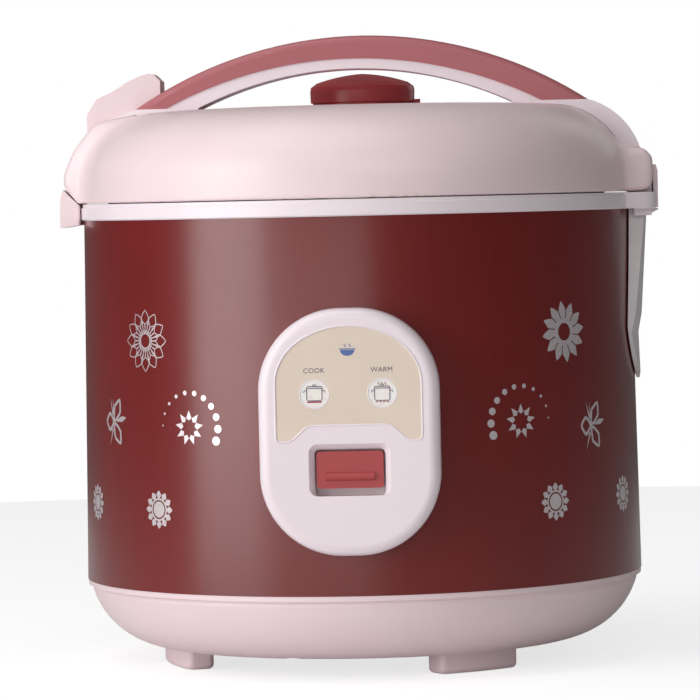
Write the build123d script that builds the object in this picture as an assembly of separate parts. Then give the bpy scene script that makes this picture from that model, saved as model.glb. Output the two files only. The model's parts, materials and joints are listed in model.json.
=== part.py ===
from build123d import *
import math
import os

# Jar-type rice cooker of about 1.8 litres. Millimetres, +Z up, front panel towards -Y.
# The origin is on the body's axis, on the surface that the feet stand on.
# The lid's hinge is on the +X side and its catch on the -X side.

# ---------------------------------------------------------------- driving sizes: body
foot_height = 9.5
base_height = 31.5
casing_height = 170.2
casing_low_radius = 132.3
casing_taper = 2.3
casing_sheet = 0.8
ring_height = 7.6
ring_overhang = 1.2
lid_seam = 0.4
dome_height = 43.0
handle_rise = 33.6

# base bowl and feet
base_wall = 2.6
base_step = 2.5
base_lip_height = 2.4
base_flat_share = 31.3
foot_outer_radius = 96.5
foot_radial = 13.0
foot_length = 43.0
foot_azimuths = (-70.0, 36.0, 163.0)
floor_slot_count = 12
slot_inner_radius = 34.0
slot_outer_radius = 66.0

# upper ring, liner and pot
ring_wall = 2.0
jacket_gap = 10.4
ring_skirt_depth = 6.2
liner_wall = 0.8
liner_floor_z = 50.0
liner_step = 4.1
pot_gap = 3.5
pot_wall = 1.5
pot_corner = 24.0
pot_flange = 6.4
pot_seat_gap = 0.1

# heating plate and its sensor
plate_top_z = 68.0
plate_thickness = 10.0
plate_radius = 90.0
plate_bore = 19.0
element_radius = 62.0
element_tube = 3.2
element_gap = 40.0
cup_radius = 17.0
cup_travel = 1.5
magnet_lift = 4.5
magnet_radius = 9.0
rod_radius = 2.5

# control panel
panel_width = 80.9
panel_height = 110.6
panel_centre_z = 115.0
panel_corner = 37.0
panel_front = 10.7
panel_wall = 2.5
label_width = 65.4
label_thickness = 0.5
lamp_spacing = 30.2
lamp_radius = 6.2
paddle_width = 29.9
paddle_height = 16.6
paddle_travel = 3.0
recess_width = 36.5
recess_height = 23.3

# hinge
pin_radius = 2.0
pin_fit = 0.05
knuckle_radius = 6.0
knuckle_reach = 4.8
hinge_half_width = 29.0
slot_half_width = 15.0
slot_radius = 11.6
ear_half_width = 13.5

# handle and button
handle_half_width = 17.0
cover_thickness = 10.8
lining_thickness = 4.7
button_half_width = 12.6
button_gap = 0.5
button_travel = 1.9
button_wall = 2.0
button_rise = 18.0
press_gap = 0.35
hook_arm = 25.0

# steam vent and dew collector
vent_centre = (2.2, 48.0)
cap_radius = 25.5
cap_height = 17.2
cap_skirt_radius = 19.6
collector_height = 80.4
collector_wall = 1.2
collector_top_half = 20.0
collector_wide_half = 33.0
collector_wide_drop = 55.0

# running clearances
slack = 0.3

# ---------------------------------------------------------------- worked-out levels and radii
casing_high_radius = casing_low_radius - casing_taper
base_floor_z = foot_height
casing_base_z = foot_height + base_height
casing_top_z = casing_base_z + casing_height
ring_top_z = casing_top_z + ring_height
lid_base_z = ring_top_z + lid_seam
dome_top_z = lid_base_z + dome_height
handle_top_z = dome_top_z + handle_rise
ring_radius = casing_high_radius + ring_overhang
ring_bore = casing_high_radius - jacket_gap
liner_radius = ring_bore - liner_step
pot_radius = liner_radius - pot_gap
pot_base_z = plate_top_z + pot_seat_gap
pot_rim_z = ring_top_z - 1.4
dome_radius = ring_radius - 0.7
pin_x = casing_high_radius + knuckle_reach
pin_z = lid_base_z + knuckle_radius + slack
seat_reach = pin_x + knuckle_radius + 1.0
inside_reach = casing_high_radius - 30.0
outside_reach = casing_low_radius + 20.0


def body_radius(z):
    """Outside radius of the tapered casing at a height."""
    share = (z - casing_base_z) / casing_height
    return casing_low_radius + (casing_high_radius - casing_low_radius) * share


# ---------------------------------------------------------------- helpers
shapes = {}


def turned(*edges):
    """Solid turned about Z from edges that close an outline in the XZ plane."""
    return revolve(make_face(list(edges)), axis=Axis.Z)


def line(*points):
    """Open or closed run of straight edges through (x, z) points in the XZ plane."""
    return Polyline(*[(x, 0, z) for x, z in points])


def arc(start, middle, end):
    """Arc through three (x, z) points in the XZ plane."""
    return ThreePointArc(*[(x, 0, z) for x, z in (start, middle, end)])


def closed(points):
    """Closed straight outline in the XZ plane."""
    return line(*points, points[0])


def side_slab(edges, low, high):
    """Slab along Y, from low to high, of an outline in the XZ plane."""
    face = make_face(edges)
    return Pos(0, low, 0) * extrude(face, amount=high - low, dir=(0, 1, 0))


def disc(radius, low, high, x=0.0, y=0.0):
    """Upright cylinder between two heights."""
    return Pos(x, y, (low + high) / 2) * Cylinder(radius, high - low)


def ring(inner, outer, low, high, x=0.0, y=0.0):
    """Upright tube between two heights."""
    return disc(outer, low, high, x, y) - disc(inner, low, high, x, y)


def block(x_low, x_high, y_low, y_high, z_low, z_high):
    """Box between two corners."""
    size = (x_high - x_low, y_high - y_low, z_high - z_low)
    middle = ((x_low + x_high) / 2, (y_low + y_high) / 2, (z_low + z_high) / 2)
    return Pos(*middle) * Box(*size)


def rod_y(radius, low, high, x, z):
    """Cylinder along Y."""
    return Pos(x, (low + high) / 2, z) * Rot(90, 0, 0) * Cylinder(radius, high - low)


def rod_x(radius, low, high, y, z):
    """Cylinder along X."""
    return Pos((low + high) / 2, y, z) * Rot(0, 90, 0) * Cylinder(radius, high - low)


def front_plate(face, front, back):
    """Plate along Y of a face drawn with x across and y up, from its front to its back."""
    upright = Pos(0, front, 0) * Rot(90, 0, 0) * face
    return extrude(upright, amount=back - front, dir=(0, 1, 0))


def around(count, radius, start=0.0):
    """Evenly spaced places on a circle."""
    turn = 360 / count
    angles = [math.radians(start + turn * i) for i in range(count)]
    return [(radius * math.cos(a), radius * math.sin(a)) for a in angles]


def coil(radius, wire, low, high, turns):
    """Coil spring between two heights."""
    path = Helix(pitch=(high - low - 2 * wire) / turns, height=high - low - 2 * wire, radius=radius)
    path = Pos(0, 0, low + wire) * path
    section = Plane(origin=path @ 0, z_dir=path % 0) * Circle(wire)
    return sweep(section, path=path, is_frenet=True)


def cone(offset, low, high):
    """Tapered core of the body, offset from the casing's outside."""
    return turned(closed([(0, low), (body_radius(low) + offset, low),
                          (body_radius(high) + offset, high), (0, high)]))


def keep(name, shape):
    """Add a sub-part to the set that is written."""
    shapes[name] = shape


# ---------------------------------------------------------------- base
lip_radius = casing_low_radius - 0.3
bowl_radius = casing_low_radius - base_step
bowl_flat = casing_low_radius - base_flat_share
bowl_shoulder_z = casing_base_z - 5.0


def bowl(inset):
    """Solid base bowl, set in by a wall all round."""
    rim = bowl_radius - inset
    low = base_floor_z + inset
    middle = (casing_low_radius - 12.3 - 0.7 * inset, base_floor_z + 10.1 + 0.7 * inset)
    wall = line((bowl_flat, low), (0, low), (0, casing_base_z), (rim, casing_base_z),
                (rim, bowl_shoulder_z))
    return turned(wall, arc((rim, bowl_shoulder_z), middle, (bowl_flat, low)))


def foot(azimuth):
    """Moulded foot, a short stretch of a ring with rounded corners."""
    stretch = ring(foot_outer_radius - foot_radial, foot_outer_radius, 0, foot_height + base_wall / 2)
    stretch &= block(0, foot_outer_radius, -foot_length / 2, foot_length / 2, 0, foot_height + base_wall)
    stretch = fillet(stretch.edges().filter_by(Axis.Z), 3.0)
    stretch = fillet(stretch.edges().group_by(Axis.Z)[0], 2.4)
    return Rot(0, 0, azimuth - 90) * stretch


feet_round = sorted(foot_azimuths) + [min(foot_azimuths) + 360]
base_screw_angles = [math.radians((a + b) / 2 - 90) for a, b in zip(feet_round, feet_round[1:])]
base_screw_circle = casing_low_radius - 32.3
base_screw_places = [(base_screw_circle * math.cos(a), base_screw_circle * math.sin(a))
                     for a in base_screw_angles]
screw_boss_top = liner_floor_z
base = bowl(0) - bowl(base_wall)
base += ring(bowl_radius - base_wall, lip_radius, casing_base_z - base_lip_height, casing_base_z)
for azimuth in foot_azimuths:
    base += foot(azimuth)
for x, y in base_screw_places:
    base += disc(4.5, base_floor_z + 1, screw_boss_top, x, y)
for x, y in base_screw_places:
    base -= disc(2.1, base_floor_z - 1, screw_boss_top + 1, x, y)
    base -= disc(3.7, base_floor_z - 1, base_floor_z + 4.0, x, y)
floor_slot = block(slot_inner_radius, slot_outer_radius, -2.0, 2.0,
                   base_floor_z - 1, base_floor_z + base_wall + 1)
for i in range(floor_slot_count):
    base -= Rot(0, 0, 360 / floor_slot_count * (i + 0.5)) * floor_slot
keep("base_shell", base)

screws = []
nuts = []
for x, y in base_screw_places:
    head = disc(3.5, base_floor_z + 0.8, base_floor_z + 4.0, x, y)
    head -= block(x - 2.6, x + 2.6, y - 0.5, y + 0.5, base_floor_z, base_floor_z + 2.2)
    screws.append(head + disc(2.0, base_floor_z + 3.9, liner_floor_z + 4.5, x, y))
    flats = Pos(x, y, liner_floor_z + liner_wall) * extrude(RegularPolygon(4.0, 6), 3.2)
    nuts.append(flats - disc(2.0, liner_floor_z, liner_floor_z + 6, x, y))
keep("base_screws", Compound(screws))
keep("base_nuts", Compound(nuts))

# ---------------------------------------------------------------- control panel places
panel_low_z = panel_centre_z - panel_height / 2
panel_high_z = panel_centre_z + panel_height / 2
panel_front_y = -(body_radius(panel_centre_z) + panel_front)
panel_back_y = panel_front_y + panel_wall
window_half = 30.0
lamp_z = panel_centre_z + 17.4
paddle_z = panel_centre_z - 16.6
recess_floor_y = panel_front_y + 8.6
panel_screw_zs = (panel_low_z + 6.5, panel_high_z - 6.5)

# ---------------------------------------------------------------- casing
inlet_half = 26.0
inlet_low_z = casing_base_z + 8.0
inlet_height = 38.0
inlet_reach = 9.0
inlet_back_y = body_radius(inlet_low_z) + inlet_reach

casing = cone(0, casing_base_z, casing_top_z)
casing -= cone(-casing_sheet, casing_base_z + casing_sheet, casing_top_z - casing_sheet)
casing -= disc(casing_low_radius - 3.8, casing_base_z - 1, casing_base_z + casing_sheet + 1)
casing -= disc(casing_high_radius - 3.8, casing_top_z - 2, casing_top_z + 1)
casing -= block(-window_half, window_half, -outside_reach, -inside_reach, panel_low_z + 22, panel_high_z - 22)
casing -= block(1 - inlet_half, inlet_half - 1, inside_reach, outside_reach,
                inlet_low_z + 1, inlet_low_z + inlet_height - 1)
for z in panel_screw_zs:
    casing -= rod_y(1.7, -outside_reach, -inside_reach, 0, z)
keep("outer_casing", casing)

# ---------------------------------------------------------------- upper ring with the hinge seat
seat_half_width = hinge_half_width + 1.0
ring_low_z = casing_top_z
crest = ring_radius - 0.6
upper = turned(closed([
    (ring_radius - ring_wall, ring_low_z), (crest, ring_low_z), (ring_radius, ring_low_z + 0.6),
    (ring_radius, ring_top_z - 1.8), (crest, ring_top_z - 1.4), (crest, ring_top_z),
    (ring_bore, ring_top_z), (ring_bore, ring_low_z - ring_skirt_depth),
    (ring_bore + ring_wall, ring_low_z - ring_skirt_depth), (ring_bore + ring_wall, ring_top_z - ring_wall),
    (ring_radius - ring_wall, ring_top_z - ring_wall)]))
seat = block(ring_bore + 3, seat_reach, -seat_half_width, seat_half_width, ring_low_z, ring_top_z)
seat -= disc(ring_radius - 1.0, ring_low_z - 1, ring_top_z + 1)
seat = fillet(seat.edges().filter_by(Axis.Z).group_by(Axis.X)[-1], 6.0)
upper += seat

ear_foot = 5.5
spring_room = 9.0
ear = side_slab([line((pin_x - ear_foot, pin_z), (pin_x - ear_foot, ring_top_z - 1),
                      (pin_x + ear_foot, ring_top_z - 1), (pin_x + ear_foot, pin_z)),
                 arc((pin_x + ear_foot, pin_z), (pin_x, pin_z + ear_foot), (pin_x - ear_foot, pin_z))],
                -ear_half_width, ear_half_width)
ear -= block(pin_x - 7, pin_x + 7, -spring_room, spring_room, ring_top_z, pin_z + 10)
upper += ear
upper -= rod_y(pin_radius, -seat_half_width - 1, seat_half_width + 1, pin_x, pin_z)

# rails under the seat that carry the dew collector
rail_inner = collector_top_half + 1.4
rail_web = rail_inner + 2.4
rail_outer = rail_web + 1.2
rail_drop = 3.4
for side in (-1, 1):
    web = block(ring_radius + 0.4, seat_reach - 2, rail_web, rail_outer, ring_low_z - rail_drop, ring_low_z)
    lip = block(ring_radius + 0.4, seat_reach - 2, rail_inner, rail_outer,
                ring_low_z - rail_drop, ring_low_z - rail_drop + 1.4)
    rail = web + lip
    upper += rail if side > 0 else mirror(rail, about=Plane.XZ)
cover_inner_x = seat_reach - 0.7
upper -= block(cover_inner_x, seat_reach + 1, -ear_half_width - 0.5, ear_half_width + 0.5,
               ring_low_z - 1, ring_top_z + 1)
keep("upper_ring", upper)

# ---------------------------------------------------------------- hinge pin, spring and cover
pin_blind_y = 2.0 - hinge_half_width
keep("hinge_pin", rod_y(pin_radius, pin_blind_y + 0.1, hinge_half_width - 0.6, pin_x, pin_z))
hinge_spring = Rot(90, 0, 0) * coil(3.3, 0.6, -7.5, 7.5, 8)
keep("hinge_spring", Pos(pin_x, 0, pin_z) * hinge_spring)

cover_outer_x = cover_inner_x + 2.2
cover_low_z = ring_low_z + 0.2
cover_high_z = pin_z + 6.2
hinge_cover = side_slab([closed([(cover_inner_x, cover_low_z), (cover_outer_x, cover_low_z),
                                 (cover_outer_x, cover_high_z - 3), (cover_outer_x - 0.8, cover_high_z),
                                 (cover_inner_x, cover_high_z)])], -ear_half_width, ear_half_width)
keep("hinge_cover", hinge_cover)

# ---------------------------------------------------------------- catch keeper on the ring
keeper_half_width = 20.0
keeper_inner_x = -(ring_radius + 0.5)
keeper_outer_x = keeper_inner_x - 8.4
keeper_low_z = ring_low_z - 3.4
keeper_high_z = ring_top_z + 7.0
hook_half_width = 6.5
keeper = side_slab([closed([(keeper_inner_x + 1.2, keeper_low_z + 1.4), (keeper_outer_x, keeper_low_z),
                            (keeper_outer_x + 0.4, keeper_high_z - 4), (keeper_outer_x + 1.8, keeper_high_z),
                            (keeper_inner_x, ring_top_z + 0.5), (keeper_inner_x + 1.2, ring_top_z - 0.5)])],
                   -keeper_half_width, keeper_half_width)
keeper -= disc(ring_radius, keeper_low_z - 5, keeper_high_z + 5)
keeper = fillet(keeper.edges().filter_by(Axis.Z).group_by(Axis.X)[0], 1.0)
pocket_outer_x = keeper_outer_x + 1.1
lip_outer_x = keeper_inner_x - 2.5
hook_room = hook_half_width + 1.5
keeper -= block(pocket_outer_x, lip_outer_x, -hook_room, hook_room, keeper_low_z + 2.2, keeper_high_z + 1)
keeper -= block(pocket_outer_x, keeper_inner_x - 0.7, -hook_room, hook_room,
                keeper_low_z + 2.2, ring_top_z - 3.3)
keep("latch_keeper", keeper)

# ---------------------------------------------------------------- dew collector
collector_top_z = ring_low_z - 0.3
collector_low_z = collector_top_z - collector_height
wide_right = (collector_wide_half, -collector_wide_drop)
wide_left = (-collector_wide_half, -collector_wide_drop)
shield = make_face([Polyline(wide_right, (collector_top_half, 0), (-collector_top_half, 0), wide_left),
                    ThreePointArc(wide_left, (0, -collector_height), wide_right)])


def collector_body(inset, hug):
    """Shield-shaped cup that hugs the casing, set in by a wall."""
    outline = offset(shield, -inset) if inset else shield
    across = extrude(Plane.YZ * outline, amount=outside_reach - inside_reach)
    across = Pos(inside_reach, 0, collector_top_z) * across
    reach = turned(closed([(0, collector_low_z - 1), (casing_high_radius + 3.0 - inset, collector_low_z - 1),
                           (casing_high_radius + 3.7 - inset, collector_low_z + 3.0),
                           (casing_high_radius + 3.1 - inset, collector_low_z + 22.0),
                           (casing_high_radius + 4.8 - inset, collector_low_z + 31.0),
                           (casing_high_radius + 8.1 - inset, collector_top_z),
                           (0, collector_top_z)]))
    return across & reach - cone(hug + inset, collector_low_z - 5, collector_top_z + 5)


collector = collector_body(0, 0.7)
cavity = collector_body(collector_wall, 0.7)
mouth = Pos(0, 0, collector_wall + 0.6) * cavity
collector -= cavity + mouth
grip = side_slab([closed([(casing_high_radius + 7.4, collector_top_z - 3.4),
                          (cover_outer_x, collector_top_z - 0.6), (cover_outer_x, collector_top_z),
                          (casing_high_radius + 7.2, collector_top_z)])], -12, 12)
collector += grip
flange_low_z = ring_low_z - rail_drop + 1.4 + slack
collar_half = rail_web - 0.4
collar_gap = collector_top_half - 0.8
collar = block(ring_radius + 1.2, casing_high_radius + 7.0, -collar_half, collar_half,
               flange_low_z, collector_top_z)
collar -= block(ring_radius, casing_high_radius + 8, -collar_gap, collar_gap,
                flange_low_z - 1, collector_top_z + 1)
collector += collar
keep("dew_collector", collector)

# ---------------------------------------------------------------- liner and side heater
liner_top_z = ring_low_z - ring_skirt_depth
liner_hole = 13.0
plate_screw_places = around(3, plate_radius - 10.0, start=90.0)
terminal_angles = [math.radians(90 + side * element_gap / 2) for side in (-1, 1)]
terminal_places = [(element_radius * math.cos(a), element_radius * math.sin(a)) for a in terminal_angles]
liner = disc(liner_radius + liner_wall, liner_floor_z, liner_top_z)
liner -= disc(liner_radius, liner_floor_z + liner_wall, liner_top_z + 1)
liner += ring(liner_radius, ring_bore + ring_wall, liner_top_z - liner_wall, liner_top_z)
liner -= disc(liner_hole, liner_floor_z - 1, liner_floor_z + 2)
for x, y in plate_screw_places + base_screw_places:
    liner -= disc(2.1, liner_floor_z - 1, liner_floor_z + 2, x, y)
for x, y in terminal_places:
    liner -= disc(6.0, liner_floor_z - 1, liner_floor_z + 2, x, y)
keep("inner_liner", liner)

belt_low_z = liner_floor_z + 70
keep("side_heater_band", ring(liner_radius + liner_wall, liner_radius + liner_wall + 1.6,
                              belt_low_z, belt_low_z + 30))

# ---------------------------------------------------------------- heating plate
plate_low_z = plate_top_z - plate_thickness
plate = disc(plate_radius, plate_low_z, plate_top_z)
plate = fillet(plate.edges().group_by(Axis.Z)[-1], 2.5)
plate -= disc(plate_bore, plate_low_z - 1, plate_top_z + 1)
for x, y in plate_screw_places:
    plate -= disc(2.0, plate_low_z - 1, plate_low_z + 6, x, y)
keep("heating_plate", plate)

element_z = plate_low_z - element_tube
element = revolve(Plane.XZ * Pos(element_radius, element_z) * Circle(element_tube), axis=Axis.Z,
                  revolution_arc=360 - element_gap)
element = Rot(0, 0, 90 + element_gap / 2) * element
for x, y in terminal_places:
    element += disc(element_tube, liner_floor_z - 7, plate_low_z, x, y)
keep("heater_element", element)

spacers = []
plate_screws = []
for x, y in plate_screw_places:
    spacers.append(ring(2.1, 5.0, liner_floor_z + liner_wall, plate_low_z, x, y))
    plate_screws.append(disc(2.0, liner_floor_z - 1, plate_low_z + 5, x, y)
                        + disc(4.0, liner_floor_z - 3, liner_floor_z, x, y))
keep("plate_spacers", Compound(spacers))
keep("plate_screws", Compound(plate_screws))

# ---------------------------------------------------------------- magnetic thermostat
cup_top_z = plate_top_z - 0.05
cup = disc(cup_radius, cup_top_z - 10, cup_top_z)
cup = fillet(cup.edges().group_by(Axis.Z)[-1], 1.0)
cup -= disc(cup_radius - 1, cup_top_z - 11, cup_top_z - 1)
keep("thermostat_cup", cup)
ferrite_top_z = cup_top_z - 1
magnet_top_z = ferrite_top_z - 3.5 - cup_travel - 0.1 - magnet_lift
keep("thermostat_ferrite", disc(magnet_radius + 0.5, ferrite_top_z - 3.5, ferrite_top_z))
magnet_low_z = magnet_top_z - 5
keep("thermostat_magnet", disc(magnet_radius, magnet_low_z, magnet_top_z))

frame_low_z = liner_floor_z - 8
frame = ring(magnet_radius + 1.5, liner_hole - 0.2, frame_low_z, liner_floor_z + liner_wall + 0.2)
frame += ring(magnet_radius + 1.5, liner_hole + 8, liner_floor_z - 1, liner_floor_z)
frame += disc(liner_hole - 0.2, frame_low_z, frame_low_z + 1)
frame -= disc(rod_radius + 0.4, frame_low_z - 1, frame_low_z + 2)
keep("thermostat_frame", frame)
spring_low_z = liner_floor_z + liner_wall + 0.2
keep("thermostat_spring", coil(11.8, 0.5, spring_low_z, ferrite_top_z, 6))

collar_z = frame_low_z - 6
rod = disc(rod_radius, collar_z - 3.5, magnet_low_z)
rod += disc(rod_radius + 2.5, collar_z, collar_z + 1.4)
keep("magnet_rod", rod)

# ---------------------------------------------------------------- switch lever and its pivot
stem_y = -(liner_radius + 7.2)
lever_top_z = collar_z - 0.5
lever_sheet = 1.6
lever_mid_z = lever_top_z - lever_sheet / 2
pivot_y = stem_y * magnet_lift / (magnet_lift + paddle_travel)
lever_end_y = stem_y - 0.9
lever = block(-7, 7, lever_end_y, 7, lever_top_z - lever_sheet, lever_top_z)
lever += rod_x(4.0, -7, 7, pivot_y, lever_mid_z)
lever -= rod_x(pin_radius + pin_fit, -8, 8, pivot_y, lever_mid_z)
lever -= disc(rod_radius + 0.8, lever_top_z - 4, lever_top_z + 4)
lever -= block(-rod_radius - 0.8, rod_radius + 0.8, 0, 8, lever_top_z - 4, lever_top_z + 4)
keep("switch_lever", lever)
keep("lever_pin", rod_x(pin_radius, -11, 11, pivot_y, lever_mid_z))

bracket_floor_z = base_floor_z + base_wall
bracket = block(-12, 12, pivot_y - 9, pivot_y + 9, bracket_floor_z, bracket_floor_z + 1.5)
for side in (-1, 1):
    cheek = block(8.2, 9.8, pivot_y - 6, pivot_y + 6, bracket_floor_z, lever_mid_z + 5)
    bracket += cheek if side > 0 else mirror(cheek, about=Plane.YZ)
bracket -= rod_x(pin_radius, -20, 20, pivot_y, lever_mid_z)
keep("lever_bracket", bracket)

# ---------------------------------------------------------------- red paddle with its stem
paddle_front_y = panel_front_y + 2.0
paddle = block(-paddle_width / 2, paddle_width / 2, paddle_front_y, paddle_front_y + 4.6,
               paddle_z - paddle_height / 2, paddle_z + paddle_height / 2)
paddle = fillet(paddle.edges().filter_by(Axis.Y), 1.8)
ridge_z = paddle_z - 3.0
ridge = Pos(0, paddle_front_y + 0.2, ridge_z) * Rot(0, 90, 0) * Cylinder(1.9, paddle_width - 8)
paddle += ridge
neck = block(-5, 5, paddle_front_y + 4, stem_y + 1.5, paddle_z - 3, paddle_z + 4)
stem = block(-5, 5, stem_y - 1.5, stem_y + 1.5, lever_top_z + 0.1, paddle_z + 4)
keep("cook_lever", paddle + neck + stem)

# ---------------------------------------------------------------- electrical pieces in the base
switch_z = bracket_floor_z
switch = block(10, 24, -42, -16, switch_z, switch_z + 16) + block(15, 19, -36, -32, switch_z, switch_z + 18)
keep("power_switch", switch)
terminal_block = block(-32, -14, 20, 52, switch_z, switch_z + 12)
for i in range(4):
    terminal_block -= disc(1.6, switch_z + 5, switch_z + 13, -23, 25 + 7.3 * i)
keep("terminal_block", terminal_block)
keep("thermal_fuse", Pos(0, 40, liner_floor_z - 3.1) * Rot(0, 90, 0) * Cylinder(3.0, 30))
warm_y = liner_radius + liner_wall
keep("keep_warm_thermostat", Rot(0, 0, 40) * rod_y(8.0, warm_y - 0.4, warm_y + 7, 0, belt_low_z - 25)
     - disc(warm_y + 0.02, belt_low_z - 40, belt_low_z))

# ---------------------------------------------------------------- rear inlet socket
inlet_face = Pos(0, inlet_low_z + inlet_height / 2) * RectangleRounded(2 * inlet_half, inlet_height, 6)
inlet_front_y = casing_low_radius - 11.3
inlet = front_plate(inlet_face, inside_reach, inlet_back_y)
inlet -= cone(0.02, casing_base_z, casing_top_z)
socket = Pos(0, inlet_low_z + inlet_height / 2) * RectangleRounded(34, 22, 4)
shroud = Pos(0, inlet_low_z + inlet_height / 2) * RectangleRounded(38, 26, 5)
inlet += front_plate(shroud, inlet_front_y, inlet_back_y)
inlet -= front_plate(socket, inlet_front_y + 2.0, inlet_back_y + 1)
keep("power_inlet", inlet)
pins = []
for x in (-10, 0, 10):
    pins.append(rod_y(2.0, inlet_front_y - 3.0, inlet_back_y - 3, x, inlet_low_z + inlet_height / 2))
for pin in pins:
    shapes["power_inlet"] -= pin
keep("inlet_pins", Compound(pins))

# ---------------------------------------------------------------- control panel
bezel_face = Pos(0, panel_centre_z) * RectangleRounded(panel_width, panel_height, panel_corner)
bezel = front_plate(bezel_face, panel_front_y, -inside_reach)
bezel = fillet(bezel.faces().sort_by(Axis.Y)[0].edges(), 5.0)
inside_face = offset(bezel_face, -panel_wall)
bezel -= front_plate(inside_face, panel_back_y, 1 - inside_reach)
tub_face = Pos(0, paddle_z) * RectangleRounded(recess_width + 3, recess_height + 3, 5)
bezel += front_plate(tub_face, panel_front_y + 1, recess_floor_y + 1.5)
recess_face = Pos(0, paddle_z) * RectangleRounded(recess_width, recess_height, 4)
bezel -= front_plate(recess_face, panel_front_y - 1, recess_floor_y)
bezel -= block(-6, 6, panel_front_y, -inside_reach, paddle_z - 3 - paddle_travel - 1, paddle_z + 5)
board_y = -(casing_high_radius - 2.6)
for x in (-22, 22):
    bezel += rod_y(2.2, panel_back_y - 0.5, board_y, x, lamp_z)
for z in panel_screw_zs:
    bezel += rod_y(3.4, panel_back_y - 0.5, -inside_reach, 0, z)
bezel -= cone(0.02, casing_base_z, casing_top_z) - block(-28, 28, -outside_reach, -inside_reach,
                                                         panel_low_z + 24, panel_high_z - 24)
for z in panel_screw_zs:
    bezel -= rod_y(1.5, panel_back_y + 1.5, -inside_reach, 0, z)

# label with a bridge-shaped foot, let into the panel's face
half_label = label_width / 2
label_top_z = panel_centre_z + 47.6
label_side_z = label_top_z - 25.4
label_low_z = label_top_z - 51.4
bridge_z = label_top_z - 44.2
label_face = make_face([
    EllipticalCenterArc((0, label_side_z), half_label, label_top_z - label_side_z, 0, arc_size=180),
    Polyline((-half_label, label_side_z), (-half_label, label_low_z), (-half_label + 6.5, label_low_z),
             (-18.4, bridge_z), (18.4, bridge_z), (half_label - 6.5, label_low_z),
             (half_label, label_low_z), (half_label, label_side_z))])
label_face = fillet(label_face.vertices().filter_by(lambda v: v.Y < label_low_z + 0.1), 2.2)
label = front_plate(label_face, panel_front_y + 0.1, panel_front_y + 0.1 + label_thickness)
bezel -= front_plate(label_face, panel_front_y - 1, panel_front_y + 0.1 + label_thickness)
bulbs = []
for side, name in ((-1, "cook_lamp_lens"), (1, "warm_lamp_lens")):
    x = side * lamp_spacing / 2
    hole = rod_y(lamp_radius + 0.1, panel_front_y - 2, panel_back_y + 1, x, lamp_z)
    label -= hole
    bezel -= hole
    keep(name, rod_y(lamp_radius, panel_front_y + 0.2, panel_back_y + 0.6, x, lamp_z))
    bulbs.append(rod_y(2.6, panel_back_y + 1.4, board_y, x, lamp_z))
keep("panel_bezel", bezel)
keep("panel_label", label)
keep("neon_lamps", Compound(bulbs))
board = block(-27, 27, board_y, board_y + 1.5, lamp_z - 8, lamp_z + 8)
keep("lamp_board", board & cone(-casing_sheet - 0.2, casing_base_z, casing_top_z))

panel_screws = []
for z in panel_screw_zs:
    inner_y = -(body_radius(z) - casing_sheet)
    shank = rod_y(1.5, panel_back_y + 2.0, inner_y + 0.5, 0, z)
    panel_screws.append(shank + rod_y(3.0, inner_y + 0.2, inner_y + 2, 0, z))
keep("panel_screws", Compound(panel_screws))

# ---------------------------------------------------------------- inner pot
pot_inner = pot_radius - pot_wall
rim_reach = pot_radius + pot_flange
corner = pot_corner
quarter = corner * (1 - math.cos(math.radians(45)))
pot_outside = turned(
    line((pot_radius - corner, pot_base_z), (0, pot_base_z), (0, pot_rim_z), (rim_reach, pot_rim_z),
         (rim_reach, pot_rim_z - 1.2), (pot_radius, pot_rim_z - 1.2), (pot_radius, pot_base_z + corner)),
    arc((pot_radius, pot_base_z + corner), (pot_radius - quarter, pot_base_z + quarter),
        (pot_radius - corner, pot_base_z)))
floor = pot_base_z + pot_wall
inner_corner = corner - pot_wall
quarter = inner_corner * (1 - math.cos(math.radians(45)))
pot_inside = turned(
    line((pot_inner - inner_corner, floor), (0, floor), (0, pot_rim_z + 1), (pot_inner, pot_rim_z + 1),
         (pot_inner, floor + inner_corner)),
    arc((pot_inner, floor + inner_corner), (pot_inner - quarter, floor + quarter),
        (pot_inner - inner_corner, floor)))
keep("inner_pot", pot_outside - pot_inside)

# ---------------------------------------------------------------- lid shell
shoulder_z = lid_base_z + 12.3
shell_wall = 2.4


def dome(inset):
    """Solid lid dome, set in by a wall."""
    side = (dome_radius - inset, shoulder_z)
    middle = (dome_radius - 8.7 - 0.75 * inset, dome_top_z - 13.2 - 0.66 * inset)
    crown = (dome_radius - 35.5 - 0.3 * inset, dome_top_z - 0.8 - inset)
    walls = line((dome_radius - 52.0, dome_top_z - inset), (0, dome_top_z - inset), (0, lid_base_z),
                 (dome_radius - inset, lid_base_z), side)
    return turned(walls, arc(side, middle, crown), line(crown, (dome_radius - 52.0, dome_top_z - inset)))


# hinge housing, rounded about the pin so that it turns clear of the seat
boss_top_z = pin_z + 14.2
boss_outer_x = pin_x + knuckle_radius
low_left = (pin_x, pin_z - knuckle_radius)
quarter = knuckle_radius * math.cos(math.radians(45))
boss = side_slab([
    arc(low_left, (pin_x + quarter, pin_z - quarter), (boss_outer_x, pin_z)),
    line((boss_outer_x, pin_z), (boss_outer_x, boss_top_z - 4.4), (boss_outer_x - 4.4, boss_top_z),
         (pin_x - 30, boss_top_z + 4), (pin_x - 30, lid_base_z), (pin_x - 5, lid_base_z), low_left)],
    -hinge_half_width, hinge_half_width)
boss = fillet(boss.edges().filter_by(Axis.Z).group_by(Axis.X)[-1], 3.0)

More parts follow.
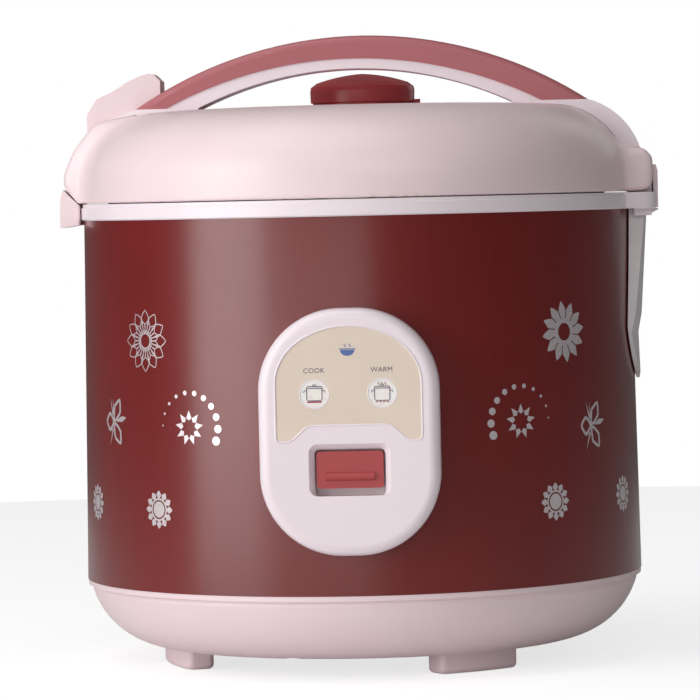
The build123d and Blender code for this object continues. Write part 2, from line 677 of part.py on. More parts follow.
# catch housing at the other side
catch_half_width = 22.0
catch_tip_x = -(dome_radius + 8.3)
catch_low_z = lid_base_z + 7.5
catch = side_slab([closed([
    (catch_tip_x, catch_low_z), (catch_tip_x + 0.7, catch_low_z + 7.6), (catch_tip_x + 3.4, catch_low_z + 12.0),
    (catch_tip_x + 4.7, catch_low_z + 16.3), (catch_tip_x + 8.0, catch_low_z + 20.6),
    (catch_tip_x + 11.7, catch_low_z + 25.4), (catch_tip_x + 16, catch_low_z + 30.5),
    (catch_tip_x + 36, catch_low_z + 34), (catch_tip_x + 36, lid_base_z), (catch_tip_x + 7.6, lid_base_z),
    (catch_tip_x + 6.6, lid_base_z + 1.5)])], -catch_half_width, catch_half_width)

shell = dome(0) + boss + catch
hollow = dome(shell_wall)
boss_room = block(pin_x - 32, pin_x - 9.5, -hinge_half_width + 2.4, hinge_half_width - 2.4,
                  lid_base_z - 1, boss_top_z - 2.4)
catch_room = side_slab([closed([
    (catch_tip_x + 2.2, catch_low_z + 1.6), (catch_tip_x + 2.9, catch_low_z + 8.2),
    (catch_tip_x + 7.1, catch_low_z + 16.8), (catch_tip_x + 13.5, catch_low_z + 24.4),
    (catch_tip_x + 38, catch_low_z + 24.4), (catch_tip_x + 38, lid_base_z + 2.4),
    (catch_tip_x + 8.6, lid_base_z + 2.4)])], -catch_half_width + 2.4, catch_half_width - 2.4)
shell -= hollow + boss_room + catch_room
shell -= rod_y(pin_radius + pin_fit, pin_blind_y, hinge_half_width + 1, pin_x, pin_z)
shell -= rod_y(slot_radius, -slot_half_width, slot_half_width, pin_x, pin_z)

# ---------------------------------------------------------------- release button
button_left_x = -(dome_radius - 3.6)
button_right_x = button_left_x + 35.3
button_top_z = dome_top_z + button_rise
button_low_z = button_top_z - 30.2
hook_x = -(dome_radius - 3.5)
hook_z = lid_base_z + 18.8
arm_end_x = hook_x + hook_arm
arm_top_z = hook_z + 5.2


def button_outline(inset, low):
    """Wedge outline of the button, set in by a wall."""
    left = button_left_x + inset
    right = button_right_x - inset
    top = button_top_z - inset
    return line((left, low), (left, top - 20.1), (left + 0.5, top - 18.2), (left + 4.9, top - 11.6),
                (left + 12.9, top - 8.0), (left + 20.0, top - 3.6), (left + 26.7 - inset, top - 0.7),
                (left + 30.5 - inset, top), (right - 3.2, top - 0.3), (right, top - 3.6), (right, low),
                (left, low))


button = side_slab([button_outline(0, button_low_z)], -button_half_width, button_half_width)
button -= side_slab([button_outline(button_wall, button_low_z - 1)],
                    button_wall - button_half_width, button_half_width - button_wall)
button_spring_x = button_right_x - 5.0
spring_seat_z = button_low_z + 0.5
spring_top_z = spring_seat_z + 11.0
button += block(arm_end_x - 1.5, arm_end_x + 1.5, 0.2 - button_half_width, button_half_width - 0.2,
                arm_top_z + press_gap, button_top_z - 6)
button += disc(2.8, spring_top_z, button_top_z - 1.5, button_spring_x, 0)
keep("release_button", button)
button_room = block(button_left_x - 0.4, button_right_x + button_gap, -button_half_width - button_gap,
                    button_half_width + button_gap, button_low_z - button_travel - 2, handle_top_z)
shell -= button_room
keep("button_spring", Pos(button_spring_x, 0, 0) * coil(2.1, 0.4, spring_seat_z, spring_top_z, 6))

# ---------------------------------------------------------------- catch hook and its pin
stem_inner_x = lip_outer_x - 0.6
stem_outer_x = stem_inner_x - 1.8
nose_x = lip_outer_x + 1.1
nose_top_z = ring_top_z - 3.7
hook_low_z = nose_top_z - 3.8
hook = side_slab([closed([
    (nose_x, nose_top_z), (nose_x, nose_top_z - 1.8),
    (stem_inner_x + 0.2, hook_low_z), (stem_outer_x, hook_low_z),
    (stem_outer_x, ring_top_z + 2.7), (stem_outer_x + 2.0, ring_top_z + 9.2), (hook_x - 3.2, hook_z + 1.6),
    (hook_x - 2, hook_z + 3.6), (hook_x, hook_z + 3.6),
    (arm_end_x - 2, arm_top_z), (arm_end_x + 1.5, arm_top_z),
    (arm_end_x + 1.5, arm_top_z - 3.0), (hook_x + 3.4, hook_z - 1.0), (hook_x, hook_z - 3.6),
    (hook_x - 2.5, hook_z - 4.0), (stem_inner_x + 2.2, ring_top_z + 9.2), (stem_inner_x, ring_top_z + 3.0),
    (stem_inner_x, nose_top_z)])], -hook_half_width, hook_half_width)
hook -= rod_y(1.55, -10, 10, hook_x, hook_z)
keep("latch_hook", hook)
keep("latch_pin", rod_y(1.5, -10.8, 10.8, hook_x, hook_z))
for side in (-1, 1):
    cheek = block(hook_x - 7.2, hook_x + 3.6, 8.8, 10.9, hook_z - 5, hook_z + 6.5)
    shell += cheek if side > 0 else mirror(cheek, about=Plane.XZ)
shell -= rod_y(1.5, -11, 11, hook_x, hook_z)
shell -= block(stem_outer_x - 1.4, stem_inner_x + 1.8, -hook_room, hook_room, lid_base_z - 3, catch_low_z + 3.5)

# ---------------------------------------------------------------- steam vent
vent_x, vent_y = vent_centre
well_wall_inner = cap_skirt_radius + 0.8
well_radius = well_wall_inner + 1.8
inner_panel_top_z = lid_base_z + 10.8
inner_panel_sheet = 2.0
well = ring(well_wall_inner, well_radius, inner_panel_top_z, dome_top_z - 0.2, vent_x, vent_y)
well += disc(well_radius, inner_panel_top_z, inner_panel_top_z + 2.0, vent_x, vent_y)
for x, y in around(4, 8.0):
    well -= disc(3.0, inner_panel_top_z - 1, inner_panel_top_z + 3, vent_x + x, vent_y + y)
keep("vent_well", well)
shell -= disc(well_radius, dome_top_z - 8, dome_top_z + 5, vent_x, vent_y)

cap_low_z = dome_top_z + slack
cap_top_z = dome_top_z + cap_height
cap = turned(
    line((cap_radius - 3.2, cap_top_z - 4.4), (cap_radius - 0.4, cap_top_z - 6.4),
         (cap_radius, cap_top_z - 8.4),
         (cap_radius - 0.2, cap_low_z + 3.0), (cap_radius - 1.3, cap_low_z + 2.6),
         (cap_radius - 1.3, cap_low_z + 1.8), (cap_radius, cap_low_z + 1.4), (cap_radius, cap_low_z),
         (0, cap_low_z), (0, cap_top_z)),
    arc((0, cap_top_z), (cap_radius * 0.42, cap_top_z - 1.3), (cap_radius - 3.2, cap_top_z - 4.4)))
cap += ring(cap_skirt_radius - 2.0, cap_skirt_radius, cap_low_z - 15, cap_low_z + 0.5)
cap += block(cap_radius - 2, cap_radius + 2.6, -3.5, 3.5, cap_low_z + 1.6, cap_low_z + 4.0)
cap -= disc(cap_skirt_radius - 2.0, cap_low_z - 16, cap_low_z + 3.0)
for x, y in around(3, 9.0, start=90.0):
    cap -= disc(1.8, cap_low_z - 1, cap_top_z + 1, x, y)
keep("steam_vent_cap", Pos(vent_x, vent_y, 0) * cap)
keep("vent_gasket", ring(cap_skirt_radius, cap_skirt_radius + 0.5, cap_low_z - 9, cap_low_z - 6.6,
                         vent_x, vent_y))

# ---------------------------------------------------------------- lid inner panel, inner lid and seals
panel_rim = dome_radius - shell_wall - slack
step_radius = ring_bore + 1.4
flange_z = lid_base_z + 0.4
inner_panel = ring(step_radius - 2, panel_rim, flange_z, flange_z + inner_panel_sheet)
inner_panel += ring(step_radius - 2, step_radius, flange_z, inner_panel_top_z)
inner_panel += disc(step_radius, inner_panel_top_z - inner_panel_sheet, inner_panel_top_z)
inner_panel += disc(2.6, inner_panel_top_z - 1, spring_seat_z, button_spring_x, 0)
inner_lid_z = lid_base_z + 1.8
inner_panel += disc(3.0, inner_lid_z - 0.8, inner_panel_top_z - 1)
for x, y in around(4, 8.0):
    inner_panel -= disc(3.0, inner_panel_top_z - 3, inner_panel_top_z + 1, vent_x + x, vent_y + y)
lid_screw_places = around(6, dome_radius - 5.0, start=30.0)
lid_screws = []
for x, y in lid_screw_places:
    inner_panel -= disc(1.4, flange_z - 1, flange_z + 4, x, y)
    inner_panel -= disc(2.8, flange_z - 1, flange_z + 1.2, x, y)
    boss_tube = disc(3.2, flange_z + inner_panel_sheet, flange_z + 15, x, y)
    shell += boss_tube - disc(1.3, flange_z, flange_z + 12, x, y)
    head = disc(2.6, flange_z + 0.1, flange_z + 1.2, x, y)
    lid_screws.append(head + disc(1.3, flange_z + 1.1, flange_z + 10, x, y))
shell &= dome(0) + boss + catch
keep("lid_inner_panel", inner_panel)
keep("lid_screws", Compound(lid_screws))
keep("lid_shell", shell)

gasket_outer = pot_radius + pot_flange - 0.1
inner_lid = disc(gasket_outer - 2.4, inner_lid_z, inner_lid_z + 1.0)
inner_lid -= disc(5.0, inner_lid_z - 1, inner_lid_z + 2)
for x, y in around(12, 40.0) + around(6, 24.0):
    inner_lid -= disc(2.0, inner_lid_z - 1, inner_lid_z + 2, x, y)
keep("inner_lid", inner_lid)
gasket = ring(gasket_outer - 6.6, gasket_outer, pot_rim_z + 0.5, inner_lid_z + 2.2)
gasket -= ring(gasket_outer - 8, gasket_outer - 2.4, inner_lid_z, inner_lid_z + 1.0)
gasket -= disc(gasket_outer - 5.0, inner_lid_z + 0.5, inner_lid_z + 3)
keep("inner_lid_gasket", gasket)
grommet = disc(9.0, inner_lid_z - 4, inner_lid_z) + disc(5.0, inner_lid_z - 1, inner_lid_z + 1)
grommet += disc(7.5, inner_lid_z + 1, inner_lid_z + 4)
grommet -= disc(3.0, inner_lid_z - 0.8, inner_lid_z + 5)
keep("inner_lid_knob", grommet)

# ---------------------------------------------------------------- handle
handle_mid_x = 3.9
cut_z = dome_top_z + 1.0
outer_half_span = dome_radius - 23.2
grip_screw_shares = (-0.577, 0.523)
cover_low_top_z = handle_top_z - cover_thickness
lining_top_z = cover_low_top_z - lining_thickness
outer_left = (handle_mid_x - outer_half_span, cut_z)
outer_right = (handle_mid_x + outer_half_span, cut_z)
inner_left = (outer_left[0] + 14.4, cut_z)
inner_right = (outer_right[0] - 21.9, cut_z)
under_left = (inner_left[0] + 15.6, cut_z)
under_right = (inner_right[0] - 14.1, cut_z)
cover_under = arc(inner_left, ((inner_left[0] + inner_right[0]) / 2, cover_low_top_z), inner_right)
cover = side_slab([arc(outer_left, (handle_mid_x, handle_top_z), outer_right), line(outer_right, inner_right),
                   cover_under, line(inner_left, outer_left)], -handle_half_width, handle_half_width)
cover_rims = [e for e in cover.edges().filter_by(GeomType.CIRCLE) if e.bounding_box().max.Z > handle_top_z - 1]
cover = fillet(cover_rims, 3.2)
cover -= button_room

lining = side_slab([cover_under, line(inner_right, under_right),
                    arc(under_right, ((under_left[0] + under_right[0]) / 2, lining_top_z), under_left),
                    line(under_left, inner_left)], -handle_half_width + 0.8, handle_half_width - 0.8)
leg_foot = (pin_x + 0.4, boss_top_z)
leg_turn = (pin_x - 10.1, boss_top_z + 16.1)
right_leg = side_slab([line(outer_right, under_right, (under_right[0], dome_top_z - 2),
                            (pin_x - 30, lid_base_z + 20), (leg_foot[0], boss_top_z - 1), leg_foot),
                       arc(leg_foot, leg_turn, outer_right)], -handle_half_width, handle_half_width)
left_leg = side_slab([closed([outer_left, (outer_left[0] - 7, cut_z - 2.6), (outer_left[0] - 17, cut_z - 8.0),
                              (outer_left[0] - 17, cut_z - 16), (under_left[0], dome_top_z - 6),
                              under_left])],
                     -handle_half_width, handle_half_width)
lower = lining + (right_leg + left_leg - (dome(0) + boss + catch)) - button_room

grip_screws = []
for share in grip_screw_shares:
    x = handle_mid_x + share * outer_half_span
    seat_z = lining_top_z - 10.6
    head = disc(2.8, seat_z + 1.0, seat_z + 3.0, x)
    shank = disc(1.5, seat_z + 2.9, seat_z + 13.0, x)
    grip_screws.append(head + shank)
    lower -= disc(3.0, seat_z - 8, seat_z + 3.0, x) + disc(1.5, seat_z, seat_z + 9, x)
    cover -= disc(1.5, seat_z, seat_z + 13.0, x)
leg_screws = []
for x in (inner_left[0] + 7.0, inner_right[0] + 6.6):
    for y in (-9.0, 9.0):
        under_z = dome_top_z - shell_wall - 1.0
        leg_screws.append(disc(2.8, under_z - 2.0, under_z, x, y) + disc(1.5, under_z - 0.1, cut_z + 6, x, y))
        hole = disc(1.5, under_z - 3, cut_z + 6, x, y)
        pad = disc(2.8, under_z - 3, under_z, x, y)
        lower -= hole
        cover -= hole
        shapes["lid_shell"] -= hole + pad
keep("handle_cover", cover)
keep("handle_lower", lower)
keep("grip_screws", Compound(grip_screws))
keep("leg_screws", Compound(leg_screws))

# ---------------------------------------------------------------- write every sub-part
os.makedirs("parts", exist_ok=True)
for name, shape in shapes.items():
    export_step(shape, f"parts/{name}.step")
    print(name, len(shape.solids()), round(shape.volume))
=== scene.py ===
import json
import math

import bmesh
import bpy
import numpy as np
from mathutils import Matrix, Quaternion, Vector


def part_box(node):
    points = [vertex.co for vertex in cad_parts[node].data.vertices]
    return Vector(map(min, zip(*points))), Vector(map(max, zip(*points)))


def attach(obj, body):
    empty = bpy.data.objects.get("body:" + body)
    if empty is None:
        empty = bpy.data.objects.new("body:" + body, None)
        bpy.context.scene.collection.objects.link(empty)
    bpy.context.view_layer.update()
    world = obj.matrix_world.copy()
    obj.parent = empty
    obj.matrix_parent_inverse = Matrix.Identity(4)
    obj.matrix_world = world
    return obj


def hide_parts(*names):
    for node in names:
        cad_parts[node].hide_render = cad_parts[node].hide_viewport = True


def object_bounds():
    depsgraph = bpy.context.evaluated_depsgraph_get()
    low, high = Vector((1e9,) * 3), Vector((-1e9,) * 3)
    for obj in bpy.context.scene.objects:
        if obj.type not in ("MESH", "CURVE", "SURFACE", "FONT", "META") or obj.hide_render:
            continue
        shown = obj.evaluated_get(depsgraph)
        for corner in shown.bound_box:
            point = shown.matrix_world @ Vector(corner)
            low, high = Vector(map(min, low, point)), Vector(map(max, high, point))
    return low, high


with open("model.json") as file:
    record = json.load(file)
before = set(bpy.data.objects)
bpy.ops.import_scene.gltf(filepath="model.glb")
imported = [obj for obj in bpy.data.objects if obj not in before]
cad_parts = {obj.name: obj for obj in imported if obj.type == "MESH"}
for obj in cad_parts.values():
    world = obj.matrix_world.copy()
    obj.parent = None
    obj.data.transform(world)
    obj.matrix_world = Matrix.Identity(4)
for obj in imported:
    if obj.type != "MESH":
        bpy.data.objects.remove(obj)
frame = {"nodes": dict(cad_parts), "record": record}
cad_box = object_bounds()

bl_info = {
    "name": "Jar Rice Cooker",
    "version": (1, 0, 0),
    "blender": (4, 5, 0),
    "location": "3D View > Sidebar > Rice Cooker",
    "description": "Finishes, printed decoration and moulded detail for a jar rice cooker",
    "category": "Object",
}

MM = 0.001
nodes = frame["nodes"]


# ---------------------------------------------------------------- sizes and colours
def colour(name, description, default):
    """A colour setting in linear values."""
    return bpy.props.FloatVectorProperty(
        name=name, description=description, default=default, subtype="COLOR", size=3, min=0.0, max=1.0)


def length(name, description, default_mm):
    """A length setting, given in millimetres and kept in metres."""
    return bpy.props.FloatProperty(
        name=name, description=description, default=default_mm * MM, unit="LENGTH", subtype="DISTANCE")


def angle(name, description, default_degrees):
    """An angle setting, given in degrees and kept in radians."""
    return bpy.props.FloatProperty(
        name=name, description=description, default=math.radians(default_degrees), subtype="ANGLE")


def plain(name, description, default):
    """A number setting without a unit."""
    return bpy.props.FloatProperty(name=name, description=description, default=default)


class CookerColours(bpy.types.PropertyGroup):
    """Colours of the mouldings, the printed casing and the metal inside."""

    pale: colour("Pale moulding", "Lid and base", (0.86, 0.69, 0.715))
    # Lighter copy of the pale moulding: partly the ring and frame's own whiter tone, partly painted light,
    # chiefly on the handle's shaded lower half.
    bright: colour("Bright moulding", "Ring, panel frame and lower half of the handle", (0.88, 0.78, 0.82))
    red: colour("Red moulding", "Switch paddle", (0.42, 0.055, 0.06))
    cover: colour("Handle cover", "Face of the handle", (0.44, 0.135, 0.15))
    # The vent cap is the red moulding made lighter: painted light that offsets the shadow the handle casts
    # on it.
    lit_cap: colour("Vent cap", "Steam vent's cap", (0.50, 0.065, 0.07))
    casing: colour("Casing", "Lacquer on the steel casing", (0.155, 0.0065, 0.006))
    ink: colour("Casing ink", "Flowers and dots printed on the casing", (0.86, 0.77, 0.80))
    label: colour("Label", "Face of the control label", (0.78, 0.65, 0.54))
    words: colour("Label ink", "Words and symbols on the label", (0.12, 0.09, 0.16))
    mark: colour("Generic mark", "Plain mark at the head of the label", (0.10, 0.16, 0.42))
    clear: colour("Collector", "Hazy plastic of the dew collector", (0.84, 0.79, 0.80))
    dark: colour("Dark moulding", "Inlet, catch hook and switch", (0.022, 0.020, 0.021))


class CookerSizes(bpy.types.PropertyGroup):
    """Sizes of the printed and moulded detail."""

    ink_proud: length("Ink thickness", "How far the casing's print stands proud", 0.06)
    large_flower: length("Large flower", "Width of the two large flowers", 28.0)
    small_flower: length("Small flower", "Width of the four small flowers", 17.5)
    star: length("Starburst", "Width of the two starbursts", 16.0)
    dot_arc: length("Dot arc", "Radius of the arc of dots round each starburst", 16.0)
    sprig: length("Sprig", "Width of the two looped sprigs", 24.0)
    label_line: length("Label line", "Width of the raised line round the label", 0.9)


class StageSettings(bpy.types.PropertyGroup):
    """The camera and the lights."""

    distance: length("Camera distance", "Level distance from the body's axis", 2000.0)
    camera_height: length("Camera height", "Height above the floor", 222.0)
    target_height: length("Target height", "Height that the camera looks at", 146.4)
    side_step: length("Side step", "Shift of the camera and its target to the right", -4.7)
    azimuth: angle("Azimuth", "Turn of the camera round the body", 2.4)
    roll: angle("Roll", "Turn of the camera about its own axis", -1.31)
    field: angle("Field of view", "Full angle across the frame", 9.56)
    key_power: plain("Key light", "Power of the left soft light", 20.8)
    top_power: plain("Top light", "Power of the overhead soft light", 9.5)
    fill_power: plain("Fill light", "Power of the front soft light", 9.5)
    low_power: plain("Low light", "Power of the low front soft light", 3.2)
    rim_power: plain("Rim light", "Power of the rear right soft light", 2.0)
    room_level: plain("Room light", "Light that the room gives all round", 0.10)


def colours():
    """The colour settings of the scene."""
    return bpy.context.scene.cooker_colours


def sizes():
    """The size settings of the scene."""
    return bpy.context.scene.cooker_sizes


# ---------------------------------------------------------------- shader maths
class Value:
    """A shader socket whose operators add Math nodes."""

    def __init__(self, finish, socket):
        self.finish = finish
        self.socket = socket

    def _math(self, operation, first, second):
        node = self.finish.node("ShaderNodeMath", {"operation": operation}, first, second)
        return Value(self.finish, node.outputs[0])

    def __add__(self, other):
        return self._math("ADD", self, other)

    def __radd__(self, other):
        return self._math("ADD", other, self)

    def __mul__(self, other):
        return self._math("MULTIPLY", self, other)


class Finish:
    """A material that is being put together round one Principled shader."""

    def __init__(self, name, **constants):
        self.material = bpy.data.materials.new(name)
        self.material.use_nodes = True
        self.tree = self.material.node_tree
        self.shader = self.tree.nodes["Principled BSDF"]
        for socket, value in constants.items():
            self.shader.inputs[socket.replace("_", " ")].default_value = value

    def node(self, kind, settings=None, *values, **named):
        """Adds a node: its settings first, then its sockets in order or by name."""
        node = self.tree.nodes.new(kind)
        for name, value in (settings or {}).items():
            setattr(node, name, value)
        sockets = list(enumerate(values)) + [(name.replace("_", " "), v) for name, v in named.items()]
        for key, value in sockets:
            self.feed(node.inputs[key], value)
        return node

    def feed(self, socket, value):
        """Links a socket or sets its number."""
        if isinstance(value, Value):
            self.tree.links.new(value.socket, socket)
        elif isinstance(value, bpy.types.NodeSocket):
            self.tree.links.new(value, socket)
        else:
            socket.default_value = value

    def place(self):
        """The surface point in metres in the cooker's own frame."""
        return self.node("ShaderNodeTexCoord").outputs["Object"]

    def stretched(self, x, y, z):
        """The surface point scaled unequally, for grain that runs one way."""
        scaled = self.node("ShaderNodeVectorMath", {"operation": "MULTIPLY"}, self.place(), (x, y, z))
        return scaled.outputs[0]

    def noise(self, size_mm, detail=2.0, roughness=0.5, along=None):
        """Soft noise from 0 to 1 whose blotches are about a size in millimetres."""
        vector = along or self.place()
        node = self.node("ShaderNodeTexNoise", None, Vector=vector, Scale=1.0 / (size_mm * MM),
                         Detail=detail, Roughness=roughness)
        return Value(self, node.outputs["Fac"])

    def cells(self, size_mm, feature="F1"):
        """Distance in a pattern of cells."""
        node = self.node("ShaderNodeTexVoronoi", {"feature": feature}, Vector=self.place(),
                         Scale=1.0 / (size_mm * MM))
        return Value(self, node.outputs["Distance"])

    def span(self, value, low, high, to_low=0.0, to_high=1.0):
        """A value taken from one range to another and held at its ends."""
        node = self.node("ShaderNodeMapRange", {"clamp": True}, value, low, high, to_low, to_high)
        return Value(self, node.outputs[0])

    def mix(self, factor, first, second):
        """A mix of two colours."""
        node = self.tree.nodes.new("ShaderNodeMix")
        node.data_type = "RGBA"
        self.feed(node.inputs[0], factor)
        for socket, value in ((node.inputs[6], first), (node.inputs[7], second)):
            self.feed(socket, value if isinstance(value, bpy.types.NodeSocket) else (*value, 1.0))
        return node.outputs[2]

    def normal(self, height, depth_mm, strength=1.0):
        """Bump of a height from 0 to 1 over a depth in millimetres."""
        node = self.node("ShaderNodeBump", None, Height=height, Strength=strength, Distance=depth_mm * MM)
        self.feed(self.shader.inputs["Normal"], node.outputs[0])

    def set(self, **links):
        """Feeds the shader's own sockets."""
        for name, value in links.items():
            self.feed(self.shader.inputs[name.replace("_", " ")], value)
        return self


def shade(rgb, factor):
    """A colour made lighter or darker."""
    return tuple(min(1.0, c * factor) for c in rgb)


# ---------------------------------------------------------------- finishes
def moulded_plastic(name, rgb, gloss, flow=0.02, scuff=0.03):
    """Injection-moulded plastic: cloudy colour, darker flecks, polished-tool ripple and fine scuffs."""
    finish = Finish(name, Specular_IOR_Level=0.5)
    cloud = finish.noise(42.0, 3.0)
    fleck = finish.noise(1.6, 4.0)
    body = finish.mix(finish.span(cloud, 0.3, 0.7), shade(rgb, 1 - flow), shade(rgb, 1 + flow))
    body = finish.mix(finish.span(fleck, 0.62, 0.8, 0.0, 0.06), body, shade(rgb, 0.86))
    hair = finish.noise(0.9, 3.0, along=finish.stretched(1.0, 0.12, 0.6))
    rough = gloss + finish.span(cloud, 0.3, 0.75, 0.0, 0.05) + finish.span(hair, 0.58, 0.75, 0.0, scuff)
    ripple = finish.noise(3.6, 2.0)
    finish.normal(ripple, 0.008, 0.4)
    return finish.set(Base_Color=body, Roughness=rough).material


def lacquered_steel(name, rgb):
    """Printed and lacquered sheet: deep colour under a clear coat, drawn faintly upright."""
    finish = Finish(name, Specular_IOR_Level=0.22, Coat_Roughness=0.24, Coat_IOR=1.5)
    drawn = finish.noise(0.7, 3.0, along=finish.stretched(1.0, 1.0, 0.03))
    cloud = finish.noise(60.0, 2.0)
    body = finish.mix(finish.span(cloud, 0.3, 0.7), shade(rgb, 0.93), shade(rgb, 1.07))
    body = finish.mix(finish.span(drawn, 0.45, 0.7, 0.0, 0.35), body, shade(rgb, 1.35))
    rough = 0.36 + finish.span(drawn, 0.3, 0.7, -0.04, 0.05)
    coat = finish.span(finish.noise(9.0, 3.0), 0.2, 0.8, 0.85, 0.95)
    peel = finish.noise(1.4, 2.0) * 0.6 + drawn * 0.4
    finish.normal(peel, 0.012, 0.5)
    return finish.set(Base_Color=body, Roughness=rough, Coat_Weight=coat).material


def brushed_metal(name, rgb, gloss, grain=(1.0, 1.0, 0.05), depth=0.02, stain=0.12):
    """Drawn or spun metal: fine lines one way, cloudy handling marks."""
    finish = Finish(name, Metallic=1.0)
    lines = finish.noise(0.35, 4.0, along=finish.stretched(*grain))
    cloud = finish.noise(24.0, 3.0)
    body = finish.mix(finish.span(cloud, 0.35, 0.75), shade(rgb, 1.05), shade(rgb, 1 - stain))
    body = finish.mix(finish.span(lines, 0.4, 0.7, 0.0, 0.4), body, shade(rgb, 0.82))
    rough = gloss + finish.span(lines, 0.3, 0.7, 0.0, 0.14) + finish.span(cloud, 0.4, 0.8, 0.0, 0.08)
    finish.normal(lines, depth, 0.5)
    return finish.set(Base_Color=body, Roughness=rough).material


def cast_metal(name, rgb):
    """Sand-smooth casting: grey, pitted, dull on the lows."""
    finish = Finish(name, Metallic=1.0)
    grit = finish.noise(0.8, 5.0, 0.65)
    pits = finish.cells(2.2)
    body = finish.mix(finish.span(grit, 0.35, 0.7), shade(rgb, 0.8), shade(rgb, 1.1))
    rough = 0.42 + finish.span(pits, 0.1, 0.6, 0.14, -0.02)
    finish.normal(grit * 0.7 + finish.span(pits, 0.0, 0.35) * 0.3, 0.08, 0.7)
    return finish.set(Base_Color=body, Roughness=rough).material


def plated_metal(name, rgb, gloss=0.2):
    """Bright plating: faint bloom and small turning marks."""
    finish = Finish(name, Metallic=1.0)
    bloom = finish.noise(5.0, 4.0)
    turned_marks = finish.noise(0.25, 2.0, along=finish.stretched(0.2, 0.2, 1.0))
    body = finish.mix(finish.span(bloom, 0.4, 0.75), rgb, shade(rgb, 0.78))
    rough = gloss + finish.span(bloom, 0.4, 0.8, 0.0, 0.12)
    finish.normal(turned_marks, 0.012, 0.5)
    return finish.set(Base_Color=body, Roughness=rough).material


def matt_stuff(name, rgb, gloss, grit_mm=0.6, depth=0.03):
    """Ceramic, ferrite or textured moulding: fine even grit."""
    finish = Finish(name)
    grit = finish.noise(grit_mm, 4.0, 0.6)
    cloud = finish.noise(14.0, 2.0)
    body = finish.mix(finish.span(grit, 0.35, 0.7), shade(rgb, 0.88), shade(rgb, 1.12))
    rough = gloss + finish.span(cloud, 0.3, 0.7, -0.05, 0.05)
    finish.normal(grit, depth, 0.6)
    return finish.set(Base_Color=body, Roughness=rough).material


def soft_rubber(name, rgb):
    """Silicone: milky, slightly tacky with dust."""
    finish = Finish(name, Subsurface_Weight=0.15, Subsurface_Scale=0.002)
    cloud = finish.noise(9.0, 3.0)
    dust = finish.noise(0.5, 4.0)
    body = finish.mix(finish.span(cloud, 0.3, 0.7), shade(rgb, 0.93), shade(rgb, 1.05))
    rough = 0.48 + finish.span(dust, 0.4, 0.7, 0.0, 0.12)
    finish.normal(dust, 0.02, 0.4)
    return finish.set(Base_Color=body, Roughness=rough).material


def hazy_plastic(name, rgb):
    """Frosted moulding of the dew collector: faint haze and fine upright scratches."""
    finish = Finish(name, IOR=1.46, Transmission_Weight=0.05)
    haze = finish.noise(12.0, 3.0)
    scratch = finish.noise(0.6, 3.0, along=finish.stretched(1.0, 1.0, 0.08))
    body = finish.mix(finish.span(haze, 0.3, 0.7), shade(rgb, 0.95), shade(rgb, 1.05))
    rough = 0.36 + finish.span(haze, 0.3, 0.7, 0.0, 0.05) + finish.span(scratch, 0.5, 0.7, 0.0, 0.04)
    return finish.set(Base_Color=body, Roughness=rough).material


def lamp_lens(name, rgb):
    """Milky lamp window behind the printed symbol."""
    finish = Finish(name, Subsurface_Weight=0.3, Subsurface_Scale=0.001)
    cloud = finish.noise(3.0, 2.0)
    body = finish.mix(finish.span(cloud, 0.3, 0.7), shade(rgb, 0.96), shade(rgb, 1.04))
    rough = 0.26 + finish.span(cloud, 0.3, 0.7, 0.0, 0.05)
    finish.normal(cloud, 0.02, 0.3)
    return finish.set(Base_Color=body, Roughness=rough).material


def board_laminate(name):
    """Circuit board: woven laminate under green mask with lighter tracks."""
    finish = Finish(name)
    weave = finish.noise(0.5, 2.0)
    tracks = finish.cells(4.0, "DISTANCE_TO_EDGE")
    body = finish.mix(finish.span(tracks, 0.03, 0.07), (0.05, 0.26, 0.10), (0.012, 0.10, 0.035))
    rough = 0.35 + finish.span(weave, 0.3, 0.7, 0.0, 0.12)
    finish.normal(finish.span(tracks, 0.02, 0.08, 1.0, 0.0), 0.03, 0.5)
    return finish.set(Base_Color=body, Roughness=rough).material


def printed_label(name, rgb):
    """Beige polyester label: fine pearl and a satin face."""
    finish = Finish(name)
    pearl = finish.noise(0.35, 3.0)
    cloud = finish.noise(30.0, 2.0)
    body = finish.mix(finish.span(cloud, 0.3, 0.7), shade(rgb, 0.96), shade(rgb, 1.04))
    body = finish.mix(finish.span(pearl, 0.5, 0.75, 0.0, 0.3), body, shade(rgb, 1.18))
    rough = 0.38 + finish.span(pearl, 0.3, 0.7, -0.04, 0.06)
    finish.normal(pearl, 0.008, 0.5)
    return finish.set(Base_Color=body, Roughness=rough).material


def screen_ink(name, rgb, gloss=0.34, metal=0.0):
    """Screen-printed ink: slightly uneven cover and a soft edge sheen."""
    finish = Finish(name, Metallic=metal)
    cover = finish.noise(0.8, 4.0, 0.6)
    body = finish.mix(finish.span(cover, 0.35, 0.7), shade(rgb, 0.85), shade(rgb, 1.1))
    rough = gloss + finish.span(cover, 0.3, 0.7, 0.0, 0.1)
    finish.normal(cover, 0.006, 0.4)
    return finish.set(Base_Color=body, Roughness=rough).material


made_finishes = {}


